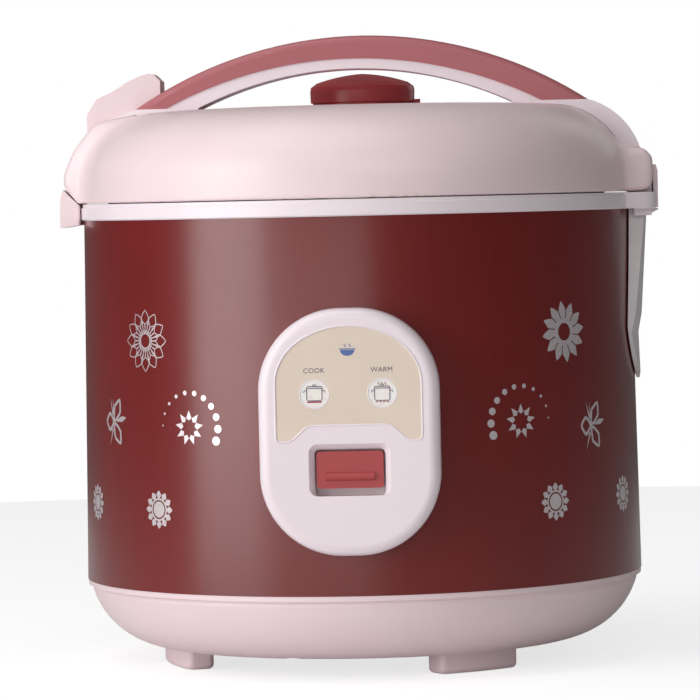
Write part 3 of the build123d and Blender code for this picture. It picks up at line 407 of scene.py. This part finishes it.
def finish_of(name):
    """The material of a name, made once."""
    if name not in made_finishes:
        c = colours()
        makers = {
            "pink_plastic": lambda: moulded_plastic("pale_gloss_plastic", tuple(c.pale), 0.33),
            # Lighter copy of the pale moulding: part own whiter tone, part painted light.
            "whiter_and_lit_moulding": lambda: moulded_plastic("whiter_and_lit_gloss_plastic", tuple(c.bright), 0.3),
            "red_plastic": lambda: moulded_plastic("red_gloss_plastic", tuple(c.red), 0.3),
            "cover_red": lambda: moulded_plastic("cover_red_plastic", tuple(c.cover), 0.36),
            # Lighter copy of the red moulding for the vent cap: painted light against the handle's shadow.
            "lit_cap_red": lambda: moulded_plastic("lit_cap_red_plastic", tuple(c.lit_cap), 0.3),
            "printed_steel": lambda: lacquered_steel("lacquered_steel", tuple(c.casing)),
            "clear_plastic": lambda: hazy_plastic("hazy_plastic", tuple(c.clear)),
            "aluminium_sheet": lambda: brushed_metal("aluminium_sheet", (0.78, 0.78, 0.79), 0.26),
            "pot_aluminium": lambda: brushed_metal("pot_aluminium", (0.72, 0.72, 0.73), 0.22),
            "cast_aluminium": lambda: cast_metal("cast_aluminium", (0.56, 0.56, 0.57)),
            "plated_steel": lambda: plated_metal("plated_steel", (0.70, 0.69, 0.66)),
            "magnet_black": lambda: matt_stuff("ferrite_black", (0.03, 0.03, 0.032), 0.5),
            "dark_plastic": lambda: matt_stuff("dark_plastic", tuple(c.dark), 0.38, 0.9, 0.02),
            "brass": lambda: plated_metal("brass", (0.80, 0.56, 0.25), 0.18),
            "white_ceramic": lambda: matt_stuff("white_ceramic", (0.80, 0.78, 0.74), 0.34),
            "pale_plastic": lambda: moulded_plastic("pale_satin_plastic", (0.80, 0.70, 0.72), 0.36),
            "silicone": lambda: soft_rubber("silicone", (0.72, 0.70, 0.68)),
            "lamp_lens": lambda: lamp_lens("lamp_lens", (0.93, 0.86, 0.82)),
            "lamp_glass": lambda: lamp_lens("lamp_glass", (0.90, 0.55, 0.32)),
            "circuit_board": lambda: board_laminate("board_laminate"),
            "label_beige": lambda: printed_label("label_face", tuple(c.label)),
            "casing_ink": lambda: screen_ink("casing_ink", tuple(c.ink), 0.36, 0.75),
            "label_ink": lambda: screen_ink("label_ink", tuple(c.words)),
            "mark_ink": lambda: screen_ink("mark_ink", tuple(c.mark)),
            "heat_ink": lambda: screen_ink("heat_ink", (0.42, 0.02, 0.05)),
        }
        made_finishes[name] = makers[name]()
    return made_finishes[name]


# ---------------------------------------------------------------- mesh helpers
def centre_of(node):
    """Middle of a CAD node's box."""
    low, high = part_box(node)
    return (low + high) / 2


def radius_near(node, z):
    """Largest distance from the axis among a node's corners near a height in metres."""
    reach = 1.5 * MM
    return max(math.hypot(v.co.x, v.co.y) for v in nodes[node].data.vertices if abs(v.co.z - z) < reach)


def mesh_piece(name, build, finish, body, smooth=True):
    """A new mesh object, filled by a function on a bmesh, that rides a body."""
    mesh = bpy.data.meshes.new(name)
    bm = bmesh.new()
    build(bm)
    bmesh.ops.remove_doubles(bm, verts=bm.verts, dist=1e-6)
    bmesh.ops.recalc_face_normals(bm, faces=bm.faces)
    bm.to_mesh(mesh)
    bm.free()
    for face in mesh.polygons:
        face.use_smooth = smooth
    piece = bpy.data.objects.new(name, mesh)
    bpy.context.scene.collection.objects.link(piece)
    piece.data.materials.append(finish_of(finish))
    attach(piece, body)


# ---------------------------------------------------------------- flat drawing for the prints
def ribbon(points, width, joined=True):
    """Quads along a line of flat points, as pairs of edges."""
    count = len(points)
    sides = []
    for i, (x, y) in enumerate(points):
        before = points[(i - 1) % count] if joined or i else points[0]
        after = points[(i + 1) % count] if joined or i < count - 1 else points[-1]
        along = Vector((after[0] - before[0], after[1] - before[1]))
        across = Vector((-along.y, along.x)).normalized() * width / 2
        sides.append(((x + across.x, y + across.y), (x - across.x, y - across.y)))
    last = count if joined else count - 1
    faces = []
    for i in range(last):
        (a, b), (c, d) = sides[i], sides[(i + 1) % count]
        faces.append((a, b, d, c))
    return faces


def fan(outline, centre):
    """Triangles from a centre to an outline that it can see whole."""
    return [(centre, outline[i], outline[(i + 1) % len(outline)]) for i in range(len(outline))]


def circle(radius, x=0.0, y=0.0, count=32):
    """Closed outline of a circle."""
    turns = [2 * math.pi * i / count for i in range(count)]
    return [(x + radius * math.cos(t), y + radius * math.sin(t)) for t in turns]


def band(inner, outer, count=40):
    """Flat ring between two radii."""
    a, b = circle(inner, count=count), circle(outer, count=count)
    return [(a[i], b[i], b[(i + 1) % count], a[(i + 1) % count]) for i in range(count)]


def petal(base, tip, half_width, fullest=0.45, count=10):
    """Pointed petal along +x as a closed outline."""
    reach = tip - base
    side = []
    for i in range(count + 1):
        t = i / count
        rise = (t / fullest) ** 0.6 if t < fullest else ((1 - t) / (1 - fullest)) ** 0.75
        side.append((base + reach * t, half_width * min(1.0, rise)))
    return side + [(x, -y) for x, y in reversed(side[1:-1])]


def turned_flat(faces, angle, x=0.0, y=0.0):
    """Flat faces turned about the origin and moved."""
    c, s = math.cos(angle), math.sin(angle)
    return [tuple((x + c * u - s * v, y + s * u + c * v) for u, v in face) for face in faces]


def spread(faces, count, start=0.0):
    """Copies of flat faces evenly round the origin."""
    made = []
    for i in range(count):
        made += turned_flat(faces, start + 2 * math.pi * i / count)
    return made


def line_flower(width):
    """Two layers of twelve outlined petals round an open centre."""
    r = width / 2
    line = 0.035 * r
    outer = ribbon(petal(0.25 * r, r, 0.215 * r, 0.62), line)
    inner = ribbon(petal(0.25 * r, 0.68 * r, 0.145 * r, 0.55), line)
    return spread(outer, 12, math.pi / 2) + spread(inner, 12, math.pi / 12) + band(0.22 * r, 0.27 * r)


def full_flower(width):
    """Twelve solid petals that lean one way, round an open centre."""
    r = width / 2
    faces = []
    for i in range(12):
        outline = petal(0.27 * r, r, 0.172 * r, 0.6)
        leaned = [(x, y + 0.16 * (x - 0.27 * r)) for x, y in outline]
        faces += turned_flat(fan(leaned, (0.62 * r, 0.07 * r)), 2 * math.pi * i / 12 + math.pi / 2)
    return faces + band(0.29 * r, 0.46 * r)


def small_flower(width):
    """Round centre, a dark gap and twelve short petals."""
    r = width / 2
    petals = spread(fan(petal(0.56 * r, r, 0.19 * r, 0.5), (0.78 * r, 0.0)), 12)
    return petals + band(0.50 * r, 0.60 * r) + fan(circle(0.42 * r), (0.0, 0.0))


def starburst(width):
    """Open ring of nine kite-shaped points."""
    r = width / 2
    kite = [(0.42 * r, 0.0), (0.56 * r, 0.19 * r), (r, 0.0), (0.56 * r, -0.19 * r)]
    return spread([tuple(kite)], 9, math.pi / 2)


def dot_arc(radius, mirrored):
    """Eleven dots that grow along an arc."""
    faces = []
    for i in range(11):
        turn = math.radians(177 - 19.8 * i)
        x, y = radius * math.cos(turn), radius * math.sin(turn)
        dot = (0.46 + 0.157 * i) * MM
        faces += fan(circle(dot, -x if mirrored else x, y, 20), (-x if mirrored else x, y))
    return faces


def sprig(width):
    """Three open loops, five stalks and a leaf."""
    r = width / 2
    line = 0.115 * r
    faces = []
    for angle, reach, half in ((62, 0.98, 0.25), (178, 0.66, 0.33), (-58, 0.95, 0.25)):
        loop = ribbon(petal(0.06 * r, reach * r, half * r, 0.55, 14), line)
        faces += turned_flat(loop, math.radians(angle))
    for angle, reach in ((110, 1.0), (97, 0.92), (-112, 1.0), (-132, 0.55), (-30, 0.72)):
        stalk = [(0.28 * r, 0.055 * r), (reach * r, 0.0), (0.28 * r, -0.055 * r)]
        faces += turned_flat([tuple(stalk)], math.radians(angle))
    leaf = petal(0.2 * r, 0.95 * r, 0.11 * r, 0.6)
    return faces + turned_flat(fan(leaf, (0.6 * r, 0.0)), math.radians(12))


def wrap_print(bm, faces, azimuth, z, low, high):
    """Lays flat faces on the tapered casing. low and high are (z, radius) at the casing's ends."""
    for face in faces:
        corners = []
        for u, v in face:
            height = z + v
            share = (height - low[0]) / (high[0] - low[0])
            radius = low[1] + (high[1] - low[1]) * share + sizes().ink_proud
            turn = math.radians(azimuth) + u / radius
            corners.append(bm.verts.new((radius * math.sin(turn), -radius * math.cos(turn), height)))
        bm.faces.new(corners)


# ---------------------------------------------------------------- pieces
class COOKER_OT_finishes(bpy.types.Operator):
    """Give every CAD piece its procedural finish"""
    bl_idname = "cooker.finishes"
    bl_label = "Finishes"

    def execute(self, context):
        slots = {s["node"]: s["material_slot"] for s in frame["record"]["subparts"]}
        # Ring, frame and lower handle take the lighter pale moulding: their whiter tone plus painted light
        # on the handle's shaded lower half.
        slots.update({name: "whiter_and_lit_moulding" for name in ("upper_ring", "panel_bezel", "handle_lower")})
        # The vent cap takes the lighter red, painted light against the handle's shadow.
        slots.update(handle_cover="cover_red", steam_vent_cap="lit_cap_red")
        for name, piece in nodes.items():
            piece.data.materials.clear()
            piece.data.materials.append(finish_of(slots[name]))
        return {"FINISHED"}


RELAX_STEP = 0.6


def relax(mesh, weight, rounds):
    """Evens a mesh out by moving each corner towards its neighbours, as far as its weight says."""
    count = len(mesh.vertices)
    points = np.empty(count * 3)
    mesh.vertices.foreach_get("co", points)
    points = points.reshape(-1, 3)
    ends = np.empty(len(mesh.edges) * 2, dtype=np.int64)
    mesh.edges.foreach_get("vertices", ends)
    first, second = ends.reshape(-1, 2).T
    here, there = np.r_[first, second], np.r_[second, first]
    degree = np.maximum(np.bincount(here, minlength=count), 1)
    for _ in range(rounds):
        for axis in range(3):
            mean = np.bincount(here, weights=points[there, axis], minlength=count) / degree
            points[:, axis] += RELAX_STEP * weight * (mean - points[:, axis])
    mesh.vertices.foreach_set("co", points.ravel())
    mesh.update()


def ramp(values, low, high):
    """Smooth 0 to 1 between two levels."""
    t = np.clip((values - low) / (high - low), 0, 1)
    return t * t * (3 - 2 * t)


def remoulded(name, node, voxel_mm, weigh, rounds, finish, body):
    """A soft-cornered copy of a CAD shell, evenly re-meshed and relaxed, that stands for it."""
    copy = bpy.data.objects.new(name, nodes[node].data.copy())
    bpy.context.scene.collection.objects.link(copy)
    even = copy.modifiers.new("even", "REMESH")
    even.mode = "VOXEL"
    even.voxel_size = voxel_mm * MM
    bpy.context.view_layer.update()
    graph = bpy.context.evaluated_depsgraph_get()
    mesh = bpy.data.meshes.new_from_object(copy.evaluated_get(graph))
    copy.modifiers.clear()
    copy.data = mesh
    points = np.empty(len(mesh.vertices) * 3)
    mesh.vertices.foreach_get("co", points)
    relax(mesh, weigh(points.reshape(-1, 3)), rounds)
    mesh.materials.clear()
    mesh.materials.append(finish_of(finish))
    for face in mesh.polygons:
        face.use_smooth = True
    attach(copy, body)
    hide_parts(node)


class COOKER_OT_lid_moulding(bpy.types.Operator):
    """Re-mould the lid so that its housings run softly into the dome"""
    bl_idname = "cooker.lid_moulding"
    bl_label = "Lid moulding"

    def execute(self, context):
        rim_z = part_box("lid_shell")[0].z
        vent_low, vent_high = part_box("vent_well")
        vent = (vent_low + vent_high) / 2
        vent_radius = (vent_high.x - vent_low.x) / 2
        button_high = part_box("release_button")[1]
        hinge_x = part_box("hinge_pin")[0].x
        button_fade = (0.235, 0.245)
        voxel_mm, rounds = 1.15, 34

        def weigh(p):
            crisp_rim = ramp(p[:, 2], rim_z + 1.5 * MM, rim_z + 6.0 * MM)
            vent_distance = np.hypot(p[:, 0] - vent.x, p[:, 1] - vent.y)
            vent_away = ramp(vent_distance, vent_radius + MM, vent_radius + 4 * MM)
            beside = np.maximum(np.abs(p[:, 1]) - button_high.y, p[:, 0] - button_high.x)
            button_away = ramp(beside, 1.0 * MM, 4.0 * MM)
            hinge_away = 1.0 - 0.75 * ramp(p[:, 0], hinge_x - 4 * MM, hinge_x + 2 * MM)
            below_button = ramp(-p[:, 2], -button_fade[1], -button_fade[0])
            return crisp_rim * vent_away * np.maximum(button_away, below_button) * hinge_away

        remoulded("lid_moulding", "lid_shell", voxel_mm, weigh, rounds, "pink_plastic", "lid")
        return {"FINISHED"}


class COOKER_OT_soft_edges(bpy.types.Operator):
    """Break the sharp edges of the small mouldings"""
    bl_idname = "cooker.soft_edges"
    bl_label = "Soft edges"

    def execute(self, context):
        widths = {"latch_keeper": 0.7, "hinge_cover": 0.5, "release_button": 0.9, "cook_lever": 0.5,
                  "handle_lower": 0.5, "handle_cover": 0.4, "upper_ring": 0.25, "steam_vent_cap": 0.3}
        sharpest_kept = math.radians(42)
        for node, width in widths.items():
            edge = nodes[node].modifiers.new("soft edge", "BEVEL")
            edge.width = width * MM
            edge.segments = 3
            edge.limit_method = "ANGLE"
            edge.angle_limit = sharpest_kept
            edge.use_clamp_overlap = True
            edge.harden_normals = False
        return {"FINISHED"}


class COOKER_OT_casing_print(bpy.types.Operator):
    """Print the flowers, starbursts, dots and sprigs on the casing"""
    bl_idname = "cooker.casing_print"
    bl_label = "Casing print"

    def execute(self, context):
        s = sizes()
        low_corner, high_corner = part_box("outer_casing")
        low = (low_corner.z, radius_near("outer_casing", low_corner.z))
        high = (high_corner.z, radius_near("outer_casing", high_corner.z))
        prints = {
            "print_line_flower": [(line_flower(s.large_flower), -46.3, 156.0)],
            "print_full_flower": [(full_flower(s.large_flower), 47.8, 156.0)],
            "print_starbursts": [(starburst(s.star), -34.3, 116.7), (starburst(s.star), 35.6, 116.6)],
            "print_dot_arcs": [(dot_arc(s.dot_arc, False), -34.3, 116.7),
                               (dot_arc(s.dot_arc, True), 35.6, 116.6)],
            "print_sprigs": [(sprig(s.sprig), -58.3, 118.0), (sprig(s.sprig), 55.8, 112.1)],
            "print_small_flowers": [(small_flower(s.small_flower), a, z) for a, z in
                                    ((-68.1, 79.5), (-42.8, 79.0), (43.9, 79.0), (69.0, 78.6))],
        }
        for name, motifs in prints.items():
            def build(bm, motifs=motifs):
                for faces, azimuth, z in motifs:
                    wrap_print(bm, faces, azimuth, z * MM, low, high)
            mesh_piece(name, build, "casing_ink", "cooker_body", smooth=False)
        return {"FINISHED"}


def rounded(points, radius, steps=6):
    """A closed run of corners, each turned into a small curve."""
    made = []
    count = len(points)
    for i, point in enumerate(points):
        corner = Vector(point)
        back = Vector(points[i - 1]) - corner
        ahead = Vector(points[(i + 1) % count]) - corner
        cut = min(radius, back.length * 0.45, ahead.length * 0.45)
        start, end = corner + back.normalized() * cut, corner + ahead.normalized() * cut
        for k in range(steps + 1):
            t = k / steps
            made.append(tuple(start * (1 - t) ** 2 + corner * 2 * t * (1 - t) + end * t * t))
    return made


def label_outline(low, high):
    """Outline of the label's face: half an ellipse over a bridge-shaped foot."""
    leg_width, bridge_half, corner = 6.5 * MM, 18.4 * MM, 2.4 * MM
    half = (high.x - low.x) / 2
    middle = (high.x + low.x) / 2
    side_z = high.z - 25.4 * MM
    bridge_z = high.z - 44.2 * MM
    turns = [math.pi * i / 36 for i in range(37)]
    dome = [(middle + half * math.cos(t), side_z + (high.z - side_z) * math.sin(t)) for t in turns]
    foot = [(-half, side_z), (-half, low.z), (-half + leg_width, low.z), (-bridge_half, bridge_z),
            (bridge_half, bridge_z), (half - leg_width, low.z), (half, low.z), (half, side_z)]
    curved = rounded([(middle + x, z) for x, z in foot], corner)
    per_corner = len(curved) // len(foot)
    return dome + curved[per_corner:-per_corner]


def bead(bm, points, width, rise, y):
    """A half-round bead along a closed line on an upright face at y."""
    count = len(points)
    turns = [math.pi * k / 6 for k in range(7)]
    profile = [(width / 2 * math.cos(a), rise * math.sin(a)) for a in turns]
    rings = []
    for i, (x, z) in enumerate(points):
        before, after = Vector(points[i - 1]), Vector(points[(i + 1) % count])
        across = Vector((-(after - before).y, (after - before).x)).normalized()
        rings.append([bm.verts.new((x + across.x * u, y - v, z + across.y * u)) for u, v in profile])
    for i in range(count):
        here, there = rings[i], rings[(i + 1) % count]
        for k in range(len(profile) - 1):
            bm.faces.new((here[k], here[k + 1], there[k + 1], there[k]))


def in_metres(points_mm):
    """Flat points given in millimetres."""
    return [(x * MM, y * MM) for x, y in points_mm]


def pot_symbol():
    """Side view of a lidded pot in lines."""
    line = 0.35 * MM
    body = in_metres([(-3.4, 2.5), (-3.4, -2.3), (-2.8, -2.9), (2.8, -2.9), (3.4, -2.3), (3.4, 2.5)])
    lid = in_metres([(-3.7, 2.6), (-3.2, 3.4), (3.2, 3.4), (3.7, 2.6)])
    knob = in_metres([(-0.7, 3.5), (-0.5, 4.2), (0.5, 4.2), (0.7, 3.5)])
    faces = ribbon(body, line, False) + ribbon(lid, line) + ribbon(knob, line, False)
    for side in (-1, 1):
        handle = in_metres([(side * 3.5, 1.5), (side * 4.6, 1.6), (side * 4.7, 0.7)])
        faces += ribbon(handle, line, False)
    return faces


def steam_symbol():
    """Three rising wisps."""
    faces = []
    for x in (-1.5, 0.0, 1.5):
        wisp = [((x + 0.35 * math.sin(2.1 * t)) * MM, (4.0 + 0.45 * t) * MM) for t in range(4)]
        faces += ribbon(wisp, 0.32 * MM, False)
    return faces


def bowl_symbol():
    """Plain bowl with two wisps: a generic mark."""
    turns = [math.pi + math.pi * k / 16 for k in range(17)]
    half = [(3.2 * math.cos(a) * MM, 2.6 * math.sin(a) * MM) for a in turns]
    faces = fan(half, (0.0, -0.6 * MM))
    faces += ribbon([(-3.6 * MM, 0.45 * MM), (3.6 * MM, 0.45 * MM)], 0.5 * MM, False)
    for x in (-1.1, 1.1):
        wisp = [((x + 0.4 * math.sin(1.9 * t)) * MM, (1.3 + 0.5 * t) * MM) for t in range(4)]
        faces += ribbon(wisp, 0.4 * MM, False)
    return faces


def upright(bm, faces, x, z, y):
    """Lays flat faces on an upright face at y."""
    for face in faces:
        bm.faces.new([bm.verts.new((x + u, y, z + v)) for u, v in face])


def word_piece(name, text, x, z, y):
    """A printed word, centred at a place on the label."""
    curve = bpy.data.curves.new(name, "FONT")
    curve.body = text
    curve.size = 3.1 * MM
    curve.space_character = 1.06
    curve.align_x, curve.align_y = "CENTER", "CENTER"
    curve.resolution_u = 4
    carrier = bpy.data.objects.new(name + ".outline", curve)
    bpy.context.scene.collection.objects.link(carrier)
    bpy.context.view_layer.update()
    mesh = bpy.data.meshes.new_from_object(carrier.evaluated_get(bpy.context.evaluated_depsgraph_get()))
    bpy.data.objects.remove(carrier)
    for v in mesh.vertices:
        v.co = (x + v.co.x, y, z + v.co.y)
    word = bpy.data.objects.new(name, mesh)
    bpy.context.scene.collection.objects.link(word)
    mesh.materials.clear()
    mesh.materials.append(finish_of("label_ink"))
    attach(word, "cooker_body")


class COOKER_OT_label_print(bpy.types.Operator):
    """Print the lamp symbols and words, and run the raised line round the label"""
    bl_idname = "cooker.label_print"
    bl_label = "Label print"

    def execute(self, context):
        low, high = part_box("panel_label")
        face_y = low.y - 0.05 * MM
        cook, warm = centre_of("cook_lamp_lens"), centre_of("warm_lamp_lens")
        lens_low, lens_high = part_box("cook_lamp_lens")
        lamp = (lens_high.z - lens_low.z) / 2
        word_rise = 10.4 * MM
        line = sizes().label_line
        middle = (low.x + high.x) / 2

        mesh_piece("label_line",
                   lambda bm: bead(bm, label_outline(low, high), line, 0.5 * MM, low.y + 0.05 * MM),
                   "whiter_and_lit_moulding", "cooker_body")

        def funnel(bm):
            paddle_low, paddle_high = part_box("cook_lever")
            centre_z = paddle_high.z - 8.3 * MM
            outer_wide, outer_tall = 37.4 * MM, 24.2 * MM
            gap, travel_room = 0.7 * MM, 3.4 * MM
            inner_wide = paddle_high.x - paddle_low.x + 2 * gap
            inner_tall = 16.6 * MM + gap + travel_room
            outer_corner, corner_loss = 4.4, 2.0
            front_y = low.y - 0.1 * MM
            share_and_depth = ((0.0, -0.02), (0.12, 0.35), (0.9, 2.6), (1.0, 3.3), (1.0, 7.6))
            rings = []
            for share, depth in share_and_depth:
                w = outer_wide + (inner_wide - outer_wide) * share
                t = outer_tall + (inner_tall - outer_tall) * share
                z = centre_z + (gap - travel_room) / 2 * share
                corners = [(w / 2, t / 2), (-w / 2, t / 2), (-w / 2, -t / 2), (w / 2, -t / 2)]
                outline = rounded(corners, (outer_corner - corner_loss * share) * MM)
                rings.append([bm.verts.new((middle + x, front_y + depth * MM, z + v)) for x, v in outline])
            for here, there in zip(rings, rings[1:]):
                for k in range(len(here)):
                    n = (k + 1) % len(here)
                    bm.faces.new((here[k], here[n], there[n], there[k]))

        mesh_piece("paddle_surround", funnel, "whiter_and_lit_moulding", "cooker_body")
        dimple = [(middle + x, high.z - 45.0 * MM + z) for x, z in circle(0.9 * MM)]
        mesh_piece("gate_ring", lambda bm: bead(bm, dimple, 0.4 * MM, 0.15 * MM, low.y - 0.02 * MM),
                   "whiter_and_lit_moulding", "cooker_body")

        def lamp_rings(bm):
            for lens in (cook, warm):
                bead(bm, [(lens.x + x, lens.z + z) for x, z in circle(lamp + 0.25 * MM, count=48)],
                     0.5 * MM, 0.12 * MM, low.y)
        mesh_piece("lamp_rings", lamp_rings, "whiter_and_lit_moulding", "cooker_body")

        def symbols(bm):
            upright(bm, pot_symbol(), cook.x, cook.z, face_y)
            upright(bm, pot_symbol() + steam_symbol(), warm.x, warm.z - 0.4 * MM, face_y)
        mesh_piece("lamp_symbols", symbols, "label_ink", "cooker_body", smooth=False)

        def heat(bm):
            bar = ribbon([(-3.2 * MM, -3.5 * MM), (3.2 * MM, -3.5 * MM)], 0.6 * MM, False)
            upright(bm, bar, cook.x, cook.z, face_y)
            for x in (-2.4, -0.8, 0.8, 2.4):
                dash = ribbon([((x - 0.5) * MM, -3.7 * MM), ((x + 0.5) * MM, -3.7 * MM)], 0.4 * MM, False)
                upright(bm, dash, warm.x, warm.z - 0.2 * MM, face_y)
        mesh_piece("heat_bars", heat, "heat_ink", "cooker_body", smooth=False)
        mesh_piece("bowl_mark", lambda bm: upright(bm, bowl_symbol(), middle, high.z - 10.8 * MM, face_y),
                   "mark_ink", "cooker_body", smooth=False)
        word_piece("word_cook", "COOK", cook.x, cook.z + word_rise, face_y)
        word_piece("word_warm", "WARM", warm.x, warm.z + word_rise, face_y)
        return {"FINISHED"}


# ---------------------------------------------------------------- stage
def stage_material(name, rgb, roughness):
    """Floor that glows a little to the camera alone, so that it stays pale without lighting the object."""
    finish = Finish(name)
    cloud = finish.noise(300.0, 2.0)
    body = finish.mix(finish.span(cloud, 0.3, 0.7), shade(rgb, 0.99), rgb)
    finish.set(Base_Color=body, Roughness=roughness)
    glow_strength, glow_share = 1.35, 0.55
    glow = finish.node("ShaderNodeEmission", None, (1.0, 1.0, 1.0, 1.0), glow_strength)
    seen = Value(finish, finish.node("ShaderNodeLightPath").outputs["Is Camera Ray"])
    either = finish.node("ShaderNodeMixShader", None, seen * glow_share,
                         finish.shader.outputs[0], glow.outputs[0])
    finish.feed(finish.tree.nodes["Material Output"].inputs[0], either.outputs[0])
    return finish.material


def soft_light(name, place, target, width, height, power):
    """A rectangular area light that faces a point."""
    data = bpy.data.lights.new(name, "AREA")
    data.shape = "RECTANGLE"
    data.size, data.size_y = width, height
    data.energy = power
    lamp = bpy.data.objects.new(name, data)
    bpy.context.scene.collection.objects.link(lamp)
    lamp.location = place
    lamp.rotation_mode = "QUATERNION"
    lamp.rotation_quaternion = (Vector(target) - Vector(place)).to_track_quat("-Z", "Y")


class COOKER_OT_stage(bpy.types.Operator):
    """Set the pale floor, the soft lights and the camera"""
    bl_idname = "cooker.stage"
    bl_label = "Stage"

    def execute(self, context):
        s = context.scene.cooker_stage
        back = Vector((math.sin(s.azimuth), -math.cos(s.azimuth), 0))
        right = Vector((math.cos(s.azimuth), math.sin(s.azimuth), 0))
        place = back * s.distance + right * s.side_step + Vector((0, 0, s.camera_height))
        target = right * s.side_step + Vector((0, 0, s.target_height))
        data = bpy.data.cameras.new("view")
        data.sensor_width = 36.0
        data.lens = data.sensor_width / 2 / math.tan(s.field / 2)
        camera = bpy.data.objects.new("view", data)
        context.scene.collection.objects.link(camera)
        camera.location = place
        camera.rotation_mode = "QUATERNION"
        aim = (target - place).to_track_quat("-Z", "Y")
        camera.rotation_quaternion = aim @ Quaternion((0, 0, 1), s.roll)
        data.clip_start, data.clip_end = 0.1, 60.0
        context.scene.camera = camera

        floor_radius, floor_drop = 1.1, 0.2 * MM
        mesh = bpy.data.meshes.new("floor")
        bm = bmesh.new()
        bmesh.ops.create_circle(bm, cap_ends=True, segments=96, radius=floor_radius)
        bm.to_mesh(mesh)
        bm.free()
        floor = bpy.data.objects.new("floor", mesh)
        context.scene.collection.objects.link(floor)
        floor.data.materials.append(stage_material("pale_floor", (0.93, 0.93, 0.93), 0.9))
        floor.location.z = cad_box[0].z - floor_drop

        world = bpy.data.worlds.new("room")
        context.scene.world = world
        world.use_nodes = True
        tree = world.node_tree
        lit = tree.nodes["Background"]
        lit.inputs[0].default_value = (1.0, 1.0, 1.0, 1.0)
        lit.inputs[1].default_value = s.room_level
        backdrop = tree.nodes.new("ShaderNodeBackground")
        backdrop.inputs[0].default_value = (1.0, 1.0, 1.0, 1.0)
        path = tree.nodes.new("ShaderNodeLightPath")
        either = tree.nodes.new("ShaderNodeMixShader")
        tree.links.new(path.outputs["Is Camera Ray"], either.inputs[0])
        tree.links.new(lit.outputs[0], either.inputs[1])
        tree.links.new(backdrop.outputs[0], either.inputs[2])
        tree.links.new(either.outputs[0], tree.nodes["World Output"].inputs[0])
        middle = Vector((0, 0, 0.14))
        key_turn, key_reach = math.radians(-52), 1.7
        key_place = (key_reach * math.sin(key_turn), -key_reach * math.cos(key_turn), 0.5)
        soft_light("key_light", key_place, middle, 1.0, 1.6, s.key_power)
        soft_light("top_light", (-0.35, -0.4, 1.7), middle, 1.4, 1.2, s.top_power)
        soft_light("fill_light", (0.5, -2.6, 1.3), middle, 1.6, 0.8, s.fill_power)
        soft_light("low_light", (-0.5, -1.9, 0.14), (0.0, 0.0, 0.06), 1.6, 0.2, s.low_power)
        soft_light("rim_light", (1.1, 1.5, 0.9), middle, 0.5, 1.4, s.rim_power)
        context.scene.view_settings.view_transform = "Standard"
        return {"FINISHED"}


class COOKER_PT_panel(bpy.types.Panel):
    """Lists the pieces and the stage"""
    bl_idname = "COOKER_PT_panel"
    bl_label = "Rice Cooker"
    bl_space_type = "VIEW_3D"
    bl_region_type = "UI"
    bl_category = "Rice Cooker"

    def draw(self, context):
        layout = self.layout
        for group in property_groups:
            settings = getattr(context.scene, group)
            box = layout.box()
            for name in settings.__annotations__:
                box.prop(settings, name)
        for operator in operators:
            layout.operator(operator.bl_idname)


operators = (COOKER_OT_finishes, COOKER_OT_lid_moulding, COOKER_OT_soft_edges, COOKER_OT_casing_print,
             COOKER_OT_label_print, COOKER_OT_stage)
property_groups = {"cooker_colours": CookerColours, "cooker_sizes": CookerSizes,
                   "cooker_stage": StageSettings}


def register():
    for cls in (*property_groups.values(), *operators, COOKER_PT_panel):
        bpy.utils.register_class(cls)
    for name, group in property_groups.items():
        setattr(bpy.types.Scene, name, bpy.props.PointerProperty(type=group))


def unregister():
    for name in property_groups:
        delattr(bpy.types.Scene, name)
    for cls in reversed((*property_groups.values(), *operators, COOKER_PT_panel)):
        bpy.utils.unregister_class(cls)


def main():
    register()
    for operator in operators:
        group, name = operator.bl_idname.split(".")
        getattr(getattr(bpy.ops, group), name)()


if __name__ == "__main__":
    main()
